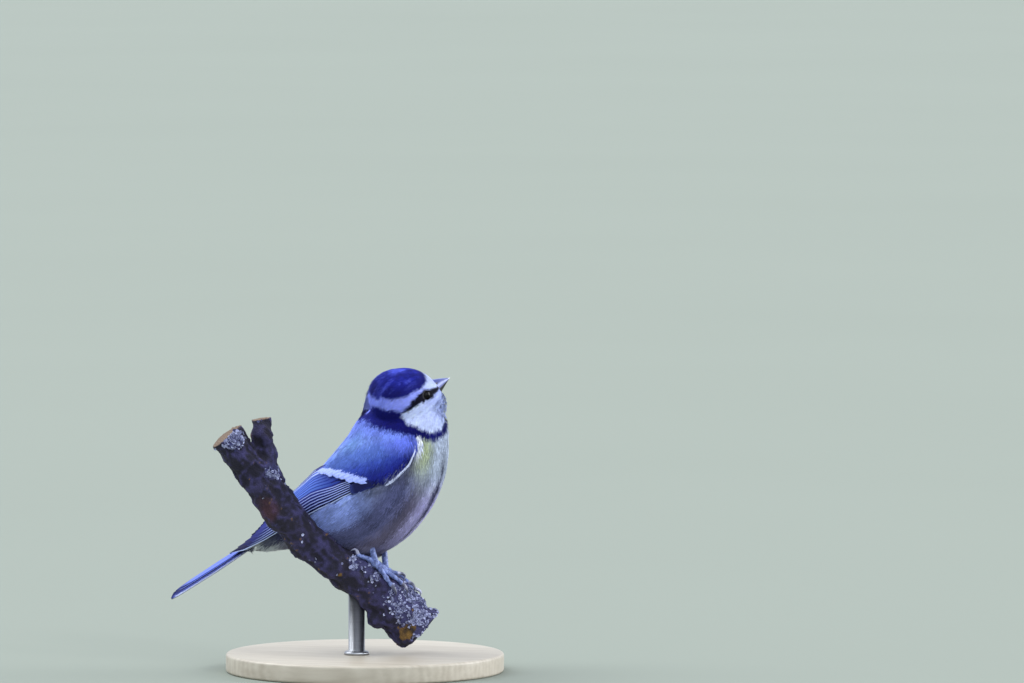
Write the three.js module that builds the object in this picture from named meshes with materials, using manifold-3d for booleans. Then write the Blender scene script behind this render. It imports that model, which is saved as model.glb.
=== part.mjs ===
// A blue tit at life size, gripping a short cut length of branch on a plain stand.
// Millimetres. The bird's breast faces +X, its left side is +Y and up is +Z.
// The origin is the middle of the underside of the stand's base.
import * as THREE from "three";
import { mergeVertices } from "three/addons/utils/BufferGeometryUtils.js";
import Module from "manifold-3d";

const wasm = await Module();
wasm.setup();

// Sizes that the whole bird shares
const GAP = 0.3;
const LEAST_DETAIL = 0.01;
const VANE_THICKNESS = 0.6;
const RIGHT = -1;
const LEFT = 1;

// Torso. Each row is one slice across the body, from the wing tips up to inside the head:
// the back's point (x, z), the belly's point (x, z) and half of the slice's width.
const TORSO_START = 1;
const TORSO_SLICES = [
  [-44.4, 32.0, -45.1, 29.2, 4.0],
  [-35.0, 38.6, -35.6, 34.0, 4.4],
  [-29.4, 43.7, -28.7, 34.9, 6.0],
  [-24.5, 48.2, -22.5, 35.9, 8.2],
  [-19.3, 52.6, -15.5, 36.1, 10.9],
  [-14.6, 56.8, -8.5, 35.2, 13.3],
  [-10.6, 61.1, -1.0, 34.1, 14.9],
  [-7.4, 65.3, 6.2, 35.8, 15.7],
  [-4.8, 69.2, 13.8, 41.2, 15.8],
  [-3.0, 72.4, 19.9, 49.0, 15.1],
  [-2.0, 75.3, 23.6, 57.4, 14.0],
  [-1.3, 78.0, 24.9, 65.0, 12.8],
  [-0.4, 80.7, 24.8, 72.0, 10.6],
  [1.6, 83.6, 23.2, 77.5, 6.6],
  [5.0, 84.5, 19.5, 81.0, 3.5],
];
const TORSO_FULLNESS = 2.2;
const TORSO_COLUMNS = 26;
const TORSO_ROWS = 22;
// The rump and tail turn to the bird's right and roll a little, from this slice backwards.
const BEND_START = 7;
const BEND_LENGTH = 6;
const REAR_TURN = THREE.MathUtils.degToRad(6);
const REAR_ROLL = THREE.MathUtils.degToRad(16);
// Where the flesh is parted: along the two edges of the dark collar, given at the nape and at
// the throat, then across the waist and in front of the tail's coverts
const COLLAR_TOP = [new THREE.Vector3(-1, 0, 79.6), new THREE.Vector3(25, 0, 73.6)];
const COLLAR_FOOT = [new THREE.Vector3(-2, 0, 74.6), new THREE.Vector3(25, 0, 70.0)];
const WAIST_SLICE = 6.6;
const TAIL_SLICE = 2.2;
const MANTLE_LEAN = new THREE.Vector3(-0.87, 0, 0.5).normalize();
const RUMP_LEAN = new THREE.Vector3(-0.31, 0, 0.95).normalize();

// Head, in its own frame: x runs forward to the bill and z runs up through the crown
const HEAD_PLACE = new THREE.Vector3(13.6, 0.3, 80.2);
const HEAD_TURN = THREE.MathUtils.degToRad(46);
const HEAD_LIFT = THREE.MathUtils.degToRad(29);
const HEAD_SLICES = [
  [-13.2, 4.6, -11.0, -4.5, 3.2],
  [-12.2, 7.8, -9.8, -7.2, 6.0],
  [-9.4, 10.0, -7.5, -9.0, 8.1],
  [-5.4, 10.7, -4.5, -10.0, 9.3],
  [-1.0, 10.3, -0.5, -10.2, 9.5],
  [3.0, 9.1, 3.5, -9.8, 8.6],
  [6.0, 7.1, 7.0, -8.4, 6.9],
  [8.1, 4.4, 9.0, -6.2, 4.9],
  [9.2, 1.9, 9.8, -3.9, 3.0],
];
const HEAD_FULLNESS = 2.15;
const HEAD_COLUMNS = 24;
const HEAD_ROWS = 14;

// Eyes and lids
const EYE_PLACE = new THREE.Vector3(2.0, 6.9, 0.8);
const EYE_RADIUS = 2.0;
const EYE_FORWARD_TURN = THREE.MathUtils.degToRad(14);
const LID_RADIUS = 1.75;
const LID_THICKNESS = 0.42;
const LID_STAND = 1.35;

// Bill: a short cone, its two halves parted by the line of the mouth
const BILL_BASE_X = 7.6;
const BILL_TIP_X = 15.0;
const BILL_LEVEL = -1.3;
const BILL_UPPER_DEPTH = 2.5;
const BILL_LOWER_DEPTH = 1.9;
const BILL_HALF_WIDTH = 2.1;
const NOSTRIL = new THREE.Vector3(9.9, 1.05, 0.35);
const NOSTRIL_RADIUS = 0.38;

// Perch, laid along a line that is turned from the bird's own, as [run, height, radius]
const PERCH_TURN = THREE.MathUtils.degToRad(31);
const PERCH_FOOT = new THREE.Vector3(4.7, -3.2, 0);
const PERCH_PATH = [
  [-45.5, 70.6, 4.7],
  [-41.0, 65.3, 4.8],
  [-36.2, 59.4, 5.0],
  [-29.3, 49.4, 5.4],
  [-24.2, 43.3, 5.1],
  [-17.6, 37.1, 5.1],
  [-12.0, 33.0, 5.6],
  [-7.1, 29.6, 6.1],
  [-0.5, 24.8, 6.5],
  [4.9, 20.1, 6.7],
  [9.1, 15.6, 7.0],
  [12.6, 12.2, 7.0],
];
// Knots on the perch: where along it, how far round it from the top, how far out and how large
const KNOTS = [
  { place: 8.8, angle: 2.9, out: 1.0, radius: 3.3 },
  { place: 0.55, angle: 1.25, out: 0.62, radius: 3.4 },
  { place: 4.4, angle: -0.5, out: 0.6, radius: 2.9 },
  { place: 2.6, angle: 2.6, out: 0.6, radius: 3.0 },
];
const PERCH_SIDES = 12;
const PERCH_STEPS = 26;
const FORK_PATH = [
  [-31.4, 55.5, 3.3],
  [-32.9, 62.6, 3.1],
  [-33.8, 69.2, 2.8],
  [-34.8, 75.6, 2.7],
];
const FORK_SIDES = 10;
const FORK_STEPS = 7;

// Stand
const BASE_RADIUS = 41;
const BASE_THICKNESS = 5.5;
const BASE_BEVEL = 0.8;
const ROD_RADIUS = 2.4;
const ROD_RUN = -6;

// Solids and loose helpers

function solidFrom(positions, triangles) {
  const geometry = new THREE.BufferGeometry();
  geometry.setAttribute("position", new THREE.Float32BufferAttribute(positions, 3));
  geometry.setIndex(triangles);
  return solidOfGeometry(geometry);
}

function solidOfGeometry(source) {
  const geometry = source.clone();
  geometry.deleteAttribute("normal");
  geometry.deleteAttribute("uv");
  const merged = mergeVertices(geometry, 1e-4);
  const triVerts = new Uint32Array(merged.index.array);
  const vertProperties = new Float32Array(merged.attributes.position.array);
  let made = new wasm.Manifold(new wasm.Mesh({ numProp: 3, vertProperties, triVerts }));
  if (made.volume() < 0) {
    for (let i = 0; i < triVerts.length; i += 3) {
      [triVerts[i + 1], triVerts[i + 2]] = [triVerts[i + 2], triVerts[i + 1]];
    }
    made = new wasm.Manifold(new wasm.Mesh({ numProp: 3, vertProperties, triVerts }));
  }
  return made;
}

function geometryOf(solid) {
  const mesh = solid.getMesh();
  const positions = new Float32Array(mesh.numVert * 3);
  for (let i = 0; i < mesh.numVert; i += 1) {
    for (let k = 0; k < 3; k += 1) {
      positions[3 * i + k] = mesh.vertProperties[mesh.numProp * i + k];
    }
  }
  const geometry = new THREE.BufferGeometry();
  geometry.setAttribute("position", new THREE.BufferAttribute(positions, 3));
  geometry.setIndex(new THREE.BufferAttribute(mesh.triVerts, 1));
  geometry.computeVertexNormals();
  return geometry;
}

function largest(solid) {
  const pieces = solid.decompose();
  return pieces.reduce((best, piece) => (piece.volume() > best.volume() ? piece : best));
}

function joined(solids) {
  return solids.reduce((all, solid) => all.add(solid));
}

// A closed skin over rings of equal counts, each end closed by a low dome of the given height
function loftSolid(rings, startDome = 0, endDome = 0) {
  const count = rings[0].length;
  const positions = rings.flat().flatMap((p) => [p.x, p.y, p.z]);
  const triangles = [];
  for (let i = 0; i + 1 < rings.length; i += 1) {
    for (let j = 0; j < count; j += 1) {
      const next = (j + 1) % count;
      const a = i * count + j;
      const b = i * count + next;
      const c = (i + 1) * count + next;
      const d = (i + 1) * count + j;
      triangles.push(a, b, c, a, c, d);
    }
  }
  [
    [0, 1, startDome],
    [rings.length - 1, rings.length - 2, endDome],
  ].forEach(([end, inner, dome]) => {
    const middle = centreOf(rings[end]);
    const outward = middle.clone().sub(centreOf(rings[inner])).normalize();
    const pole = middle.addScaledVector(outward, dome);
    const poleIndex = positions.length / 3;
    positions.push(pole.x, pole.y, pole.z);
    for (let j = 0; j < count; j += 1) {
      const a = end * count + j;
      const b = end * count + ((j + 1) % count);
      if (end === 0) {
        triangles.push(b, a, poleIndex);
      } else {
        triangles.push(a, b, poleIndex);
      }
    }
  });
  return solidFrom(positions, triangles);
}

function centreOf(points) {
  const middle = new THREE.Vector3();
  points.forEach((p) => middle.add(p));
  return middle.divideScalar(points.length);
}

// A thin curved plate, split into triangles alike on both faces. Each row holds the points of
// its upper face and, under each, the point of its lower face.
function plateSolid(rows) {
  const columns = rows[0].upper.length;
  const positions = [];
  rows.forEach((row) => {
    [...row.upper, ...row.lower].forEach((p) => positions.push(p.x, p.y, p.z));
  });
  const upper = (i, j) => i * 2 * columns + j;
  const lower = (i, j) => i * 2 * columns + columns + j;
  const triangles = [];
  const last = rows.length - 1;
  for (let i = 0; i < last; i += 1) {
    for (let j = 0; j + 1 < columns; j += 1) {
      triangles.push(upper(i, j), upper(i, j + 1), upper(i + 1, j + 1));
      triangles.push(upper(i, j), upper(i + 1, j + 1), upper(i + 1, j));
      triangles.push(lower(i, j), lower(i + 1, j + 1), lower(i, j + 1));
      triangles.push(lower(i, j), lower(i + 1, j), lower(i + 1, j + 1));
    }
    [0, columns - 1].forEach((j) => {
      const side = [upper(i, j), upper(i + 1, j), lower(i + 1, j), lower(i, j)];
      const [a, b, c, d] = j === 0 ? side : side.reverse();
      triangles.push(a, b, c, a, c, d);
    });
  }
  for (let j = 0; j + 1 < columns; j += 1) {
    triangles.push(upper(0, j), lower(0, j), lower(0, j + 1));
    triangles.push(upper(0, j), lower(0, j + 1), upper(0, j + 1));
    triangles.push(upper(last, j), lower(last, j + 1), lower(last, j));
    triangles.push(upper(last, j), upper(last, j + 1), lower(last, j + 1));
  }
  return solidFrom(positions, triangles);
}

// A value of one column of a list of slices, eased between its neighbours
function eased(slices, place, column) {
  const end = slices.length - 1;
  const i = Math.max(0, Math.min(end - 1, Math.floor(place)));
  const t = place - i;
  const at = (j) => {
    if (j < 0) return 2 * slices[0][column] - slices[1][column];
    if (j > end) return 2 * slices[end][column] - slices[end - 1][column];
    return slices[j][column];
  };
  const [a, b, c, d] = [at(i - 1), at(i), at(i + 1), at(i + 2)];
  return b + 0.5 * t * (c - a + t * (2 * a - 5 * b + 4 * c - d + t * (3 * (b - c) + d - a)));
}

function rounded(value, fullness) {
  return Math.sign(value) * Math.abs(value) ** (2 / fullness);
}

// A point of a sliced form: angle 0 is on top, a half turn is underneath, side is left or right
function slicePoint(slices, fullness, place, angle, side) {
  const back = new THREE.Vector3(eased(slices, place, 0), 0, eased(slices, place, 1));
  const belly = new THREE.Vector3(eased(slices, place, 2), 0, eased(slices, place, 3));
  const halfWidth = eased(slices, place, 4);
  const up = back.clone().sub(belly).multiplyScalar(0.5);
  const middle = back.add(belly).multiplyScalar(0.5);
  const point = middle.clone().addScaledVector(up, rounded(Math.cos(angle), fullness));
  point.y = side * halfWidth * rounded(Math.sin(angle), fullness);
  return { point, middle };
}

// The torso's surface, with the turn and roll of the rump, raised by a height
function rearBend(point, middle, place) {
  const share = THREE.MathUtils.smoothstep(BEND_START - place, 0, BEND_LENGTH);
  const run = middle.x - eased(TORSO_SLICES, BEND_START, 0);
  const roll = new THREE.Quaternion().setFromAxisAngle(
    new THREE.Vector3(1, 0, 0),
    REAR_ROLL * share,
  );
  const turned = point.clone().sub(middle).applyQuaternion(roll).add(middle);
  const sway = REAR_TURN * share;
  return new THREE.Vector3(
    turned.x - turned.y * Math.sin(sway),
    turned.y * Math.cos(sway) + Math.min(0, run) * Math.sin(sway) * 0.6,
    turned.z,
  );
}

function bareTorsoPoint(place, angle, side) {
  const { point, middle } = slicePoint(TORSO_SLICES, TORSO_FULLNESS, place, angle, side);
  return rearBend(point, middle, place);
}

function torsoNormal(place, angle, side) {
  const step = 0.02;
  const along = bareTorsoPoint(place + step, angle, side).sub(
    bareTorsoPoint(place - step, angle, side),
  );
  const around = bareTorsoPoint(place, angle + step, side).sub(
    bareTorsoPoint(place, angle - step, side),
  );
  return along.cross(around).multiplyScalar(side).normalize();
}

function torsoPoint(place, angle, side, height = 0) {
  const safeAngle = THREE.MathUtils.clamp(angle, 0.03, Math.PI - 0.03);
  const normal = torsoNormal(place, safeAngle, side);
  return bareTorsoPoint(place, angle, side).addScaledVector(normal, height);
}

function torsoRing(place, height) {
  const points = [];
  for (let j = 0; j < TORSO_COLUMNS; j += 1) {
    const turn = (2 * Math.PI * j) / TORSO_COLUMNS;
    const side = turn <= Math.PI ? LEFT : RIGHT;
    points.push(torsoPoint(place, turn <= Math.PI ? turn : 2 * Math.PI - turn, side, height));
  }
  return points;
}

function torsoSolid(height) {
  const end = TORSO_SLICES.length - 1;
  const rings = [];
  for (let i = 0; i <= TORSO_ROWS; i += 1) {
    rings.push(torsoRing(TORSO_START + ((end - TORSO_START) * i) / TORSO_ROWS, height));
  }
  return loftSolid(rings, 0.5 + height, 1 + height);
}

// Head in the bird's frame
const headMatrix = new THREE.Matrix4().compose(
  HEAD_PLACE,
  new THREE.Quaternion().setFromEuler(new THREE.Euler(0, -HEAD_LIFT, HEAD_TURN, "ZYX")),
  new THREE.Vector3(1, 1, 1),
);

function headLocalPoint(place, angle, side, height = 0) {
  const at = (where, turn) => slicePoint(HEAD_SLICES, HEAD_FULLNESS, where, turn, side).point;
  const step = 0.02;
  const safeAngle = THREE.MathUtils.clamp(angle, 0.03, Math.PI - 0.03);
  const along = at(place + step, safeAngle).sub(at(place - step, safeAngle));
  const around = at(place, safeAngle + step).sub(at(place, safeAngle - step));
  const normal = along.cross(around).multiplyScalar(side).normalize();
  return at(place, angle).addScaledVector(normal, height);
}

function headSolid(height) {
  const end = HEAD_SLICES.length - 1;
  const rings = [];
  for (let i = 0; i <= HEAD_ROWS; i += 1) {
    const points = [];
    for (let j = 0; j < HEAD_COLUMNS; j += 1) {
      const turn = (2 * Math.PI * j) / HEAD_COLUMNS;
      const side = turn <= Math.PI ? LEFT : RIGHT;
      const angle = turn <= Math.PI ? turn : 2 * Math.PI - turn;
      points.push(headLocalPoint((end * i) / HEAD_ROWS, angle, side, height));
    }
    rings.push(points.map((p) => p.applyMatrix4(headMatrix)));
  }
  return loftSolid(rings, 0.6 + height, 0.8 + height);
}

function inHead(geometry) {
  return solidOfGeometry(geometry.applyMatrix4(headMatrix));
}

// Eye: a ball in a socket, ringed by its lids
function eyeSolids(side) {
  const place = new THREE.Vector3(EYE_PLACE.x, side * EYE_PLACE.y, EYE_PLACE.z);
  const outward = new THREE.Vector3(Math.sin(EYE_FORWARD_TURN), side * Math.cos(EYE_FORWARD_TURN), 0);
  const ball = new THREE.SphereGeometry(EYE_RADIUS, 16, 10);
  ball.translate(place.x, place.y, place.z);
  const socket = new THREE.SphereGeometry(EYE_RADIUS + GAP, 16, 10);
  socket.translate(place.x, place.y, place.z);
  const lid = new THREE.TorusGeometry(LID_RADIUS, LID_THICKNESS, 6, 18);
  lid.applyQuaternion(
    new THREE.Quaternion().setFromUnitVectors(new THREE.Vector3(0, 0, 1), outward),
  );
  const stand = place.clone().addScaledVector(outward, LID_STAND);
  lid.translate(stand.x, stand.y, stand.z);
  return { ball: inHead(ball), socket: inHead(socket), lid: inHead(lid) };
}

// Bill: one half is a cone whose section is half an oval, upper or lower
function billSolid(isUpper) {
  const rows = 7;
  const columns = 8;
  const rings = [];
  const depth = isUpper ? BILL_UPPER_DEPTH : BILL_LOWER_DEPTH;
  const reach = isUpper ? BILL_TIP_X : BILL_TIP_X - 0.5;
  const sign = isUpper ? 1 : -1;
  for (let i = 0; i < rows; i += 1) {
    const t = i / (rows - 1);
    const x = BILL_BASE_X + (reach - BILL_BASE_X) * t;
    const taper = Math.max(0.09, isUpper ? 1 - t ** 1.35 : 1 - t ** 1.2);
    const width = Math.max(0.22, BILL_HALF_WIDTH * (1 - t ** 1.1) * (isUpper ? 1 : 0.9));
    const droop = isUpper ? -0.35 * t ** 3 : 0;
    const points = [];
    for (let j = 0; j <= columns; j += 1) {
      const angle = (Math.PI * j) / columns;
      const z = BILL_LEVEL + droop + sign * (GAP / 2 + depth * taper * Math.sin(angle));
      points.push(new THREE.Vector3(x, width * Math.cos(angle), z).applyMatrix4(headMatrix));
    }
    rings.push(points);
  }
  return loftSolid(rings, 0, 0.1);
}

// The two nostrils, small round pits near the base of the upper half
function nostrilSolids() {
  return [RIGHT, LEFT].map((side) => {
    const pit = new THREE.SphereGeometry(NOSTRIL_RADIUS, 10, 8);
    return inHead(pit.scale(1.4, 1, 0.8).translate(NOSTRIL.x, side * NOSTRIL.y, NOSTRIL.z));
  });
}

// Folded wing. Each row is a slice of the torso with the angles of the wing's upper and lower
// edges, from the bend of the wing to its tip.
const WING_EDGE = [
  [11.2, 108, 121],
  [10.8, 95, 122],
  [10.1, 76, 117],
  [9.0, 57, 103],
  [8.2, 46, 93],
  [7.2, 33, 86],
  [5.4, 13, 83],
  [3.0, 9, 88],
  [1.6, 13, 90],
  [0.2, 34, 88],
];
const ARM_END_SLICE = 5.2;
const ARM_ROWS = 6;
const ARM_COLUMNS = 5;
const ARM_HEIGHT = 1.5;
const ARM_EDGE_HEIGHT = 0.63;

// The angle on the torso at a share of the way from the wing's upper edge to its lower edge
function wingAngle(place, share) {
  const last = WING_EDGE.length - 1;
  let i = 0;
  while (i < last - 1 && WING_EDGE[i + 1][0] > place) i += 1;
  const [fromPlace, fromTop, fromLow] = WING_EDGE[i];
  const [toPlace, toTop, toLow] = WING_EDGE[i + 1];
  const t = (place - fromPlace) / (toPlace - fromPlace);
  const top = THREE.MathUtils.lerp(fromTop, toTop, t);
  const low = THREE.MathUtils.lerp(fromLow, toLow, t);
  return THREE.MathUtils.degToRad(THREE.MathUtils.lerp(top, low, share));
}

// A vane of one feather, from its root to its tip. Root and tip are each a slice of the torso
// and a share across the wing. Its outer edge, the lower one, stands higher than its inner.
function wingVane(side, vane) {
  const made = [];
  for (let i = 0; i <= vane.rows; i += 1) {
    const t = i / vane.rows;
    const place = THREE.MathUtils.lerp(vane.root[0], vane.tip[0], t);
    const angle = wingAngle(place, THREE.MathUtils.lerp(vane.root[1], vane.tip[1], t));
    const tipRound = Math.sqrt(Math.max(0, 1 - Math.max(0, (t - 0.8) / 0.2) ** 2));
    const width = vane.halfWidth * Math.min(0.55 + 2 * t, 1) * Math.max(0.35, tipRound);
    const height = THREE.MathUtils.lerp(vane.rootHeight, vane.height, Math.min(1, 3 * t));
    const reach = torsoPoint(place, angle + 0.05, side).distanceTo(
      torsoPoint(place, angle, side),
    );
    const upper = [];
    const lower = [];
    vane.across.forEach((across) => {
      const turn = Math.max(0.06, angle + (across * width * 0.05) / reach);
      const lift = height + across * vane.tilt;
      upper.push(torsoPoint(place, turn, side, lift));
      lower.push(torsoPoint(place, turn, side, lift - vane.thickness));
    });
    made.push({ upper, lower });
  }
  return plateSolid(made);
}

// A row of like feathers, eased from the first to the last
function vaneRow(side, count, first, last, common) {
  const solids = [];
  for (let i = 0; i < count; i += 1) {
    const t = i / (count - 1);
    const mix = (a, b) => THREE.MathUtils.lerp(a, b, t);
    solids.push(
      wingVane(side, {
        ...common,
        root: [mix(first.root[0], last.root[0]), mix(first.root[1], last.root[1])],
        tip: [mix(first.tip[0], last.tip[0]), mix(first.tip[1], last.tip[1])],
        halfWidth: mix(first.halfWidth, last.halfWidth),
      }),
    );
  }
  return solids;
}

// The arm under its small coverts
function wingArm(side) {
  const rows = [];
  for (let i = 0; i <= ARM_ROWS; i += 1) {
    const place = THREE.MathUtils.lerp(WING_EDGE[0][0], ARM_END_SLICE, i / ARM_ROWS);
    const end = i === 0 || i === ARM_ROWS ? 0.3 : 1;
    const upper = [];
    const lower = [];
    for (let j = 0; j <= ARM_COLUMNS; j += 1) {
      const t = j / ARM_COLUMNS;
      const swell = (ARM_HEIGHT - ARM_EDGE_HEIGHT) * end * Math.sin(Math.PI * t);
      const angle = wingAngle(place, t);
      upper.push(torsoPoint(place, angle, side, ARM_EDGE_HEIGHT + swell));
      lower.push(torsoPoint(place, angle, side, -ARM_EDGE_HEIGHT));
    }
    rows.push({ upper, lower });
  }
  return plateSolid(rows);
}

const FLIGHT = {
  rows: 5,
  across: [-1, 0, 1],
  height: 1.0,
  rootHeight: 0.5,
  tilt: 0.28,
  thickness: VANE_THICKNESS,
};
const COVERT = {
  rows: 3,
  across: [-1, 1],
  height: 1.8,
  rootHeight: 0.9,
  tilt: 0.18,
  thickness: 0.9,
};

function wingSolid(side) {
  const primaries = vaneRow(
    side,
    7,
    { root: [8.8, 0.93], tip: [0.5, 0.86], halfWidth: 1.7 },
    { root: [7.6, 0.78], tip: [1.9, 0.62], halfWidth: 2.3 },
    { ...FLIGHT, height: 0.85 },
  );
  const secondaries = vaneRow(
    side,
    5,
    { root: [7.4, 0.74], tip: [2.4, 0.58], halfWidth: 2.4 },
    { root: [6.4, 0.4], tip: [3.0, 0.42], halfWidth: 2.8 },
    FLIGHT,
  );
  const tertials = vaneRow(
    side,
    3,
    { root: [6.4, 0.34], tip: [2.3, 0.34], halfWidth: 3.1 },
    { root: [5.8, 0.08], tip: [3.6, 0.06], halfWidth: 2.8 },
    { ...FLIGHT, rows: 4, height: 1.5, thickness: 0.9 },
  );
  const greaterCoverts = vaneRow(
    side,
    7,
    { root: [8.9, 0.84], tip: [7.7, 0.9], halfWidth: 2.3 },
    { root: [6.4, 0.08], tip: [4.9, 0.02], halfWidth: 3.0 },
    COVERT,
  );
  const primaryCoverts = vaneRow(
    side,
    4,
    { root: [9.9, 0.92], tip: [8.2, 0.96], halfWidth: 1.8 },
    { root: [9.0, 0.86], tip: [7.6, 0.92], halfWidth: 1.8 },
    { ...COVERT, height: 1.5 },
  );
  const medianCoverts = vaneRow(
    side,
    5,
    { root: [10.0, 0.7], tip: [8.7, 0.74], halfWidth: 2.8 },
    { root: [7.6, 0.1], tip: [6.2, 0.08], halfWidth: 3.2 },
    { ...COVERT, height: 2.2, rootHeight: 1.2 },
  );
  return joined([
    wingArm(side),
    ...primaries,
    ...secondaries,
    ...tertials,
    ...greaterCoverts,
    ...primaryCoverts,
    ...medianCoverts,
  ]);
}

// Tail: twelve long vanes, nearly closed, over the coverts that hold their roots
const TAIL_ROOT = new THREE.Vector3(-24.5, 0, 43.0);
const TAIL_LENGTH = 40.8;
const TAIL_PITCH = THREE.MathUtils.degToRad(33);
const TAIL_VANES = 12;
const TAIL_HALF_WIDTH = 2.5;
const TAIL_FAN = THREE.MathUtils.degToRad(2.6);
const TAIL_NOTCH = 1.4;
const TAIL_ROOT_HALF_WIDTH = 1.2;
const TAIL_ARCH = 0.7;
const TAIL_SLANT = 0.22;
const TAIL_RISE = 0.25;

function tailVanes(extra) {
  const solids = [];
  const matrix = tailMatrix();
  for (let i = 0; i < TAIL_VANES; i += 1) {
    const t = (2 * i) / (TAIL_VANES - 1) - 1;
    const outer = Math.abs(t);
    const length = TAIL_LENGTH + extra - TAIL_NOTCH * (1 - outer);
    const rows = 5;
    const made = [];
    for (let j = 0; j <= rows; j += 1) {
      const s = j / rows;
      const run = length * s;
      const tipRound = Math.sqrt(Math.max(0, 1 - Math.max(0, (s - 0.9) / 0.1) ** 2));
      const width = TAIL_HALF_WIDTH * Math.min(0.4 + s, 1) * Math.max(0.35, tipRound) + extra;
      const offset = t * (TAIL_ROOT_HALF_WIDTH + run * Math.sin(TAIL_FAN));
      const arch = TAIL_ARCH * (1 - outer);
      const upper = [];
      const lower = [];
      [-1, 0, 1].forEach((across) => {
        const slope = -TAIL_SLANT * across * Math.sign(t);
        const height = TAIL_RISE + arch + slope * s;
        const y = offset + across * width;
        const under = height - VANE_THICKNESS - extra;
        upper.push(new THREE.Vector3(-run, y, height + extra).applyMatrix4(matrix));
        lower.push(new THREE.Vector3(-run, y, under).applyMatrix4(matrix));
      });
      made.push({ upper, lower });
    }
    solids.push(plateSolid(made));
  }
  return solids;
}

function tailMatrix() {
  const place = rearBend(TAIL_ROOT, TAIL_ROOT, TAIL_SLICE);
  const euler = new THREE.Euler(REAR_ROLL, -TAIL_PITCH, REAR_TURN, "ZYX");
  return new THREE.Matrix4().compose(
    place,
    new THREE.Quaternion().setFromEuler(euler),
    new THREE.Vector3(1, 1, 1),
  );
}

// Perch: rings along a path in an upright plane, wavy like bark
const perchAlong = new THREE.Vector3(Math.cos(PERCH_TURN), Math.sin(PERCH_TURN), 0);
const perchAcross = new THREE.Vector3(-Math.sin(PERCH_TURN), Math.cos(PERCH_TURN), 0);

function perchPlace(path, place) {
  const run = eased(path, place, 0);
  const height = eased(path, place, 1);
  return PERCH_FOOT.clone().addScaledVector(perchAlong, run).setZ(height);
}

function perchFrame(path, place) {
  const step = 0.05;
  const tangent = perchPlace(path, place + step).sub(perchPlace(path, place - step)).normalize();
  const normal = new THREE.Vector3().crossVectors(tangent, perchAcross).normalize();
  return { tangent, normal: normal.z < 0 ? normal.negate() : normal };
}

// angle 0 is on top of the perch and grows towards the bird's right
function perchPoint(path, place, angle, height = 0) {
  const { normal } = perchFrame(path, place);
  const radius = eased(path, place, 2) + height;
  const wave =
    0.32 * Math.sin(3 * angle + 2.3 * place) +
    0.26 * Math.sin(2 * angle - 3.9 * place + 1.1) +
    0.3 * Math.sin(5.3 * place + angle);
  return perchPlace(path, place)
    .addScaledVector(normal, (radius + wave) * Math.cos(angle))
    .addScaledVector(perchAcross, -(radius + wave) * Math.sin(angle));
}

function perchSolid(path, sides, steps, height) {
  const rings = [];
  for (let i = 0; i <= steps; i += 1) {
    const points = [];
    for (let j = 0; j < sides; j += 1) {
      points.push(perchPoint(path, ((path.length - 1) * i) / steps, (2 * Math.PI * j) / sides, height));
    }
    rings.push(points);
  }
  return loftSolid(rings, height, height);
}

function wholePerch(height) {
  const main = perchSolid(PERCH_PATH, PERCH_SIDES, PERCH_STEPS, height);
  const fork = perchSolid(FORK_PATH, FORK_SIDES, FORK_STEPS, height);
  const knots = KNOTS.map((knot) => {
    const ball = new THREE.IcosahedronGeometry(knot.radius + height, 2);
    const depth = (knot.out - 1) * eased(PERCH_PATH, knot.place, 2);
    const centre = perchPoint(PERCH_PATH, knot.place, knot.angle, depth);
    return solidOfGeometry(ball.translate(centre.x, centre.y, centre.z));
  });
  return joined([main, fork, ...knots]);
}

// Feet: toes laid along the perch. Each toe is a turn from straight ahead and a length.
const FEET = [
  { side: RIGHT, place: 7.35, angle: 0.7, turn: 0.05 },
  { side: LEFT, place: 8.0, angle: -0.5, turn: 0.16 },
];
const TOES = [
  { turn: -0.34, length: 7.5, claw: 3.6 },
  { turn: 0, length: 9.8, claw: 4.0 },
  { turn: 0.36, length: 8.0, claw: 3.6 },
  { turn: Math.PI, length: 6.8, claw: 5.0 },
];
const TOE_RADIUS = 0.85;
const CLAW_RADIUS = 0.55;
const TARSUS_RADIUS = 0.8;
const BALL_RADIUS = 1.25;

function footPoint(foot, forward, sideways, height) {
  const radius = eased(PERCH_PATH, foot.place, 2);
  const spacing = perchPlace(PERCH_PATH, foot.place + 0.5).distanceTo(
    perchPlace(PERCH_PATH, foot.place - 0.5),
  );
  const along = forward * Math.cos(foot.turn) - sideways * Math.sin(foot.turn);
  const round = forward * Math.sin(foot.turn) + sideways * Math.cos(foot.turn);
  return perchPoint(
    PERCH_PATH,
    foot.place + along / spacing,
    foot.angle + round / (radius + 1),
    height,
  );
}

function tubeSolid(points, radii, sides) {
  const rings = points.map((point, i) => {
    const before = points[Math.max(0, i - 1)];
    const after = points[Math.min(points.length - 1, i + 1)];
    const tangent = after.clone().sub(before).normalize();
    const first = new THREE.Vector3(0, 0, 1).cross(tangent).normalize();
    const second = tangent.clone().cross(first);
    const ring = [];
    for (let j = 0; j < sides; j += 1) {
      const turn = (2 * Math.PI * j) / sides;
      ring.push(
        point
          .clone()
          .addScaledVector(first, radii[i] * Math.cos(turn))
          .addScaledVector(second, radii[i] * Math.sin(turn)),
      );
    }
    return ring;
  });
  return loftSolid(rings, radii[0] * 0.4, radii[radii.length - 1] * 0.4);
}

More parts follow.
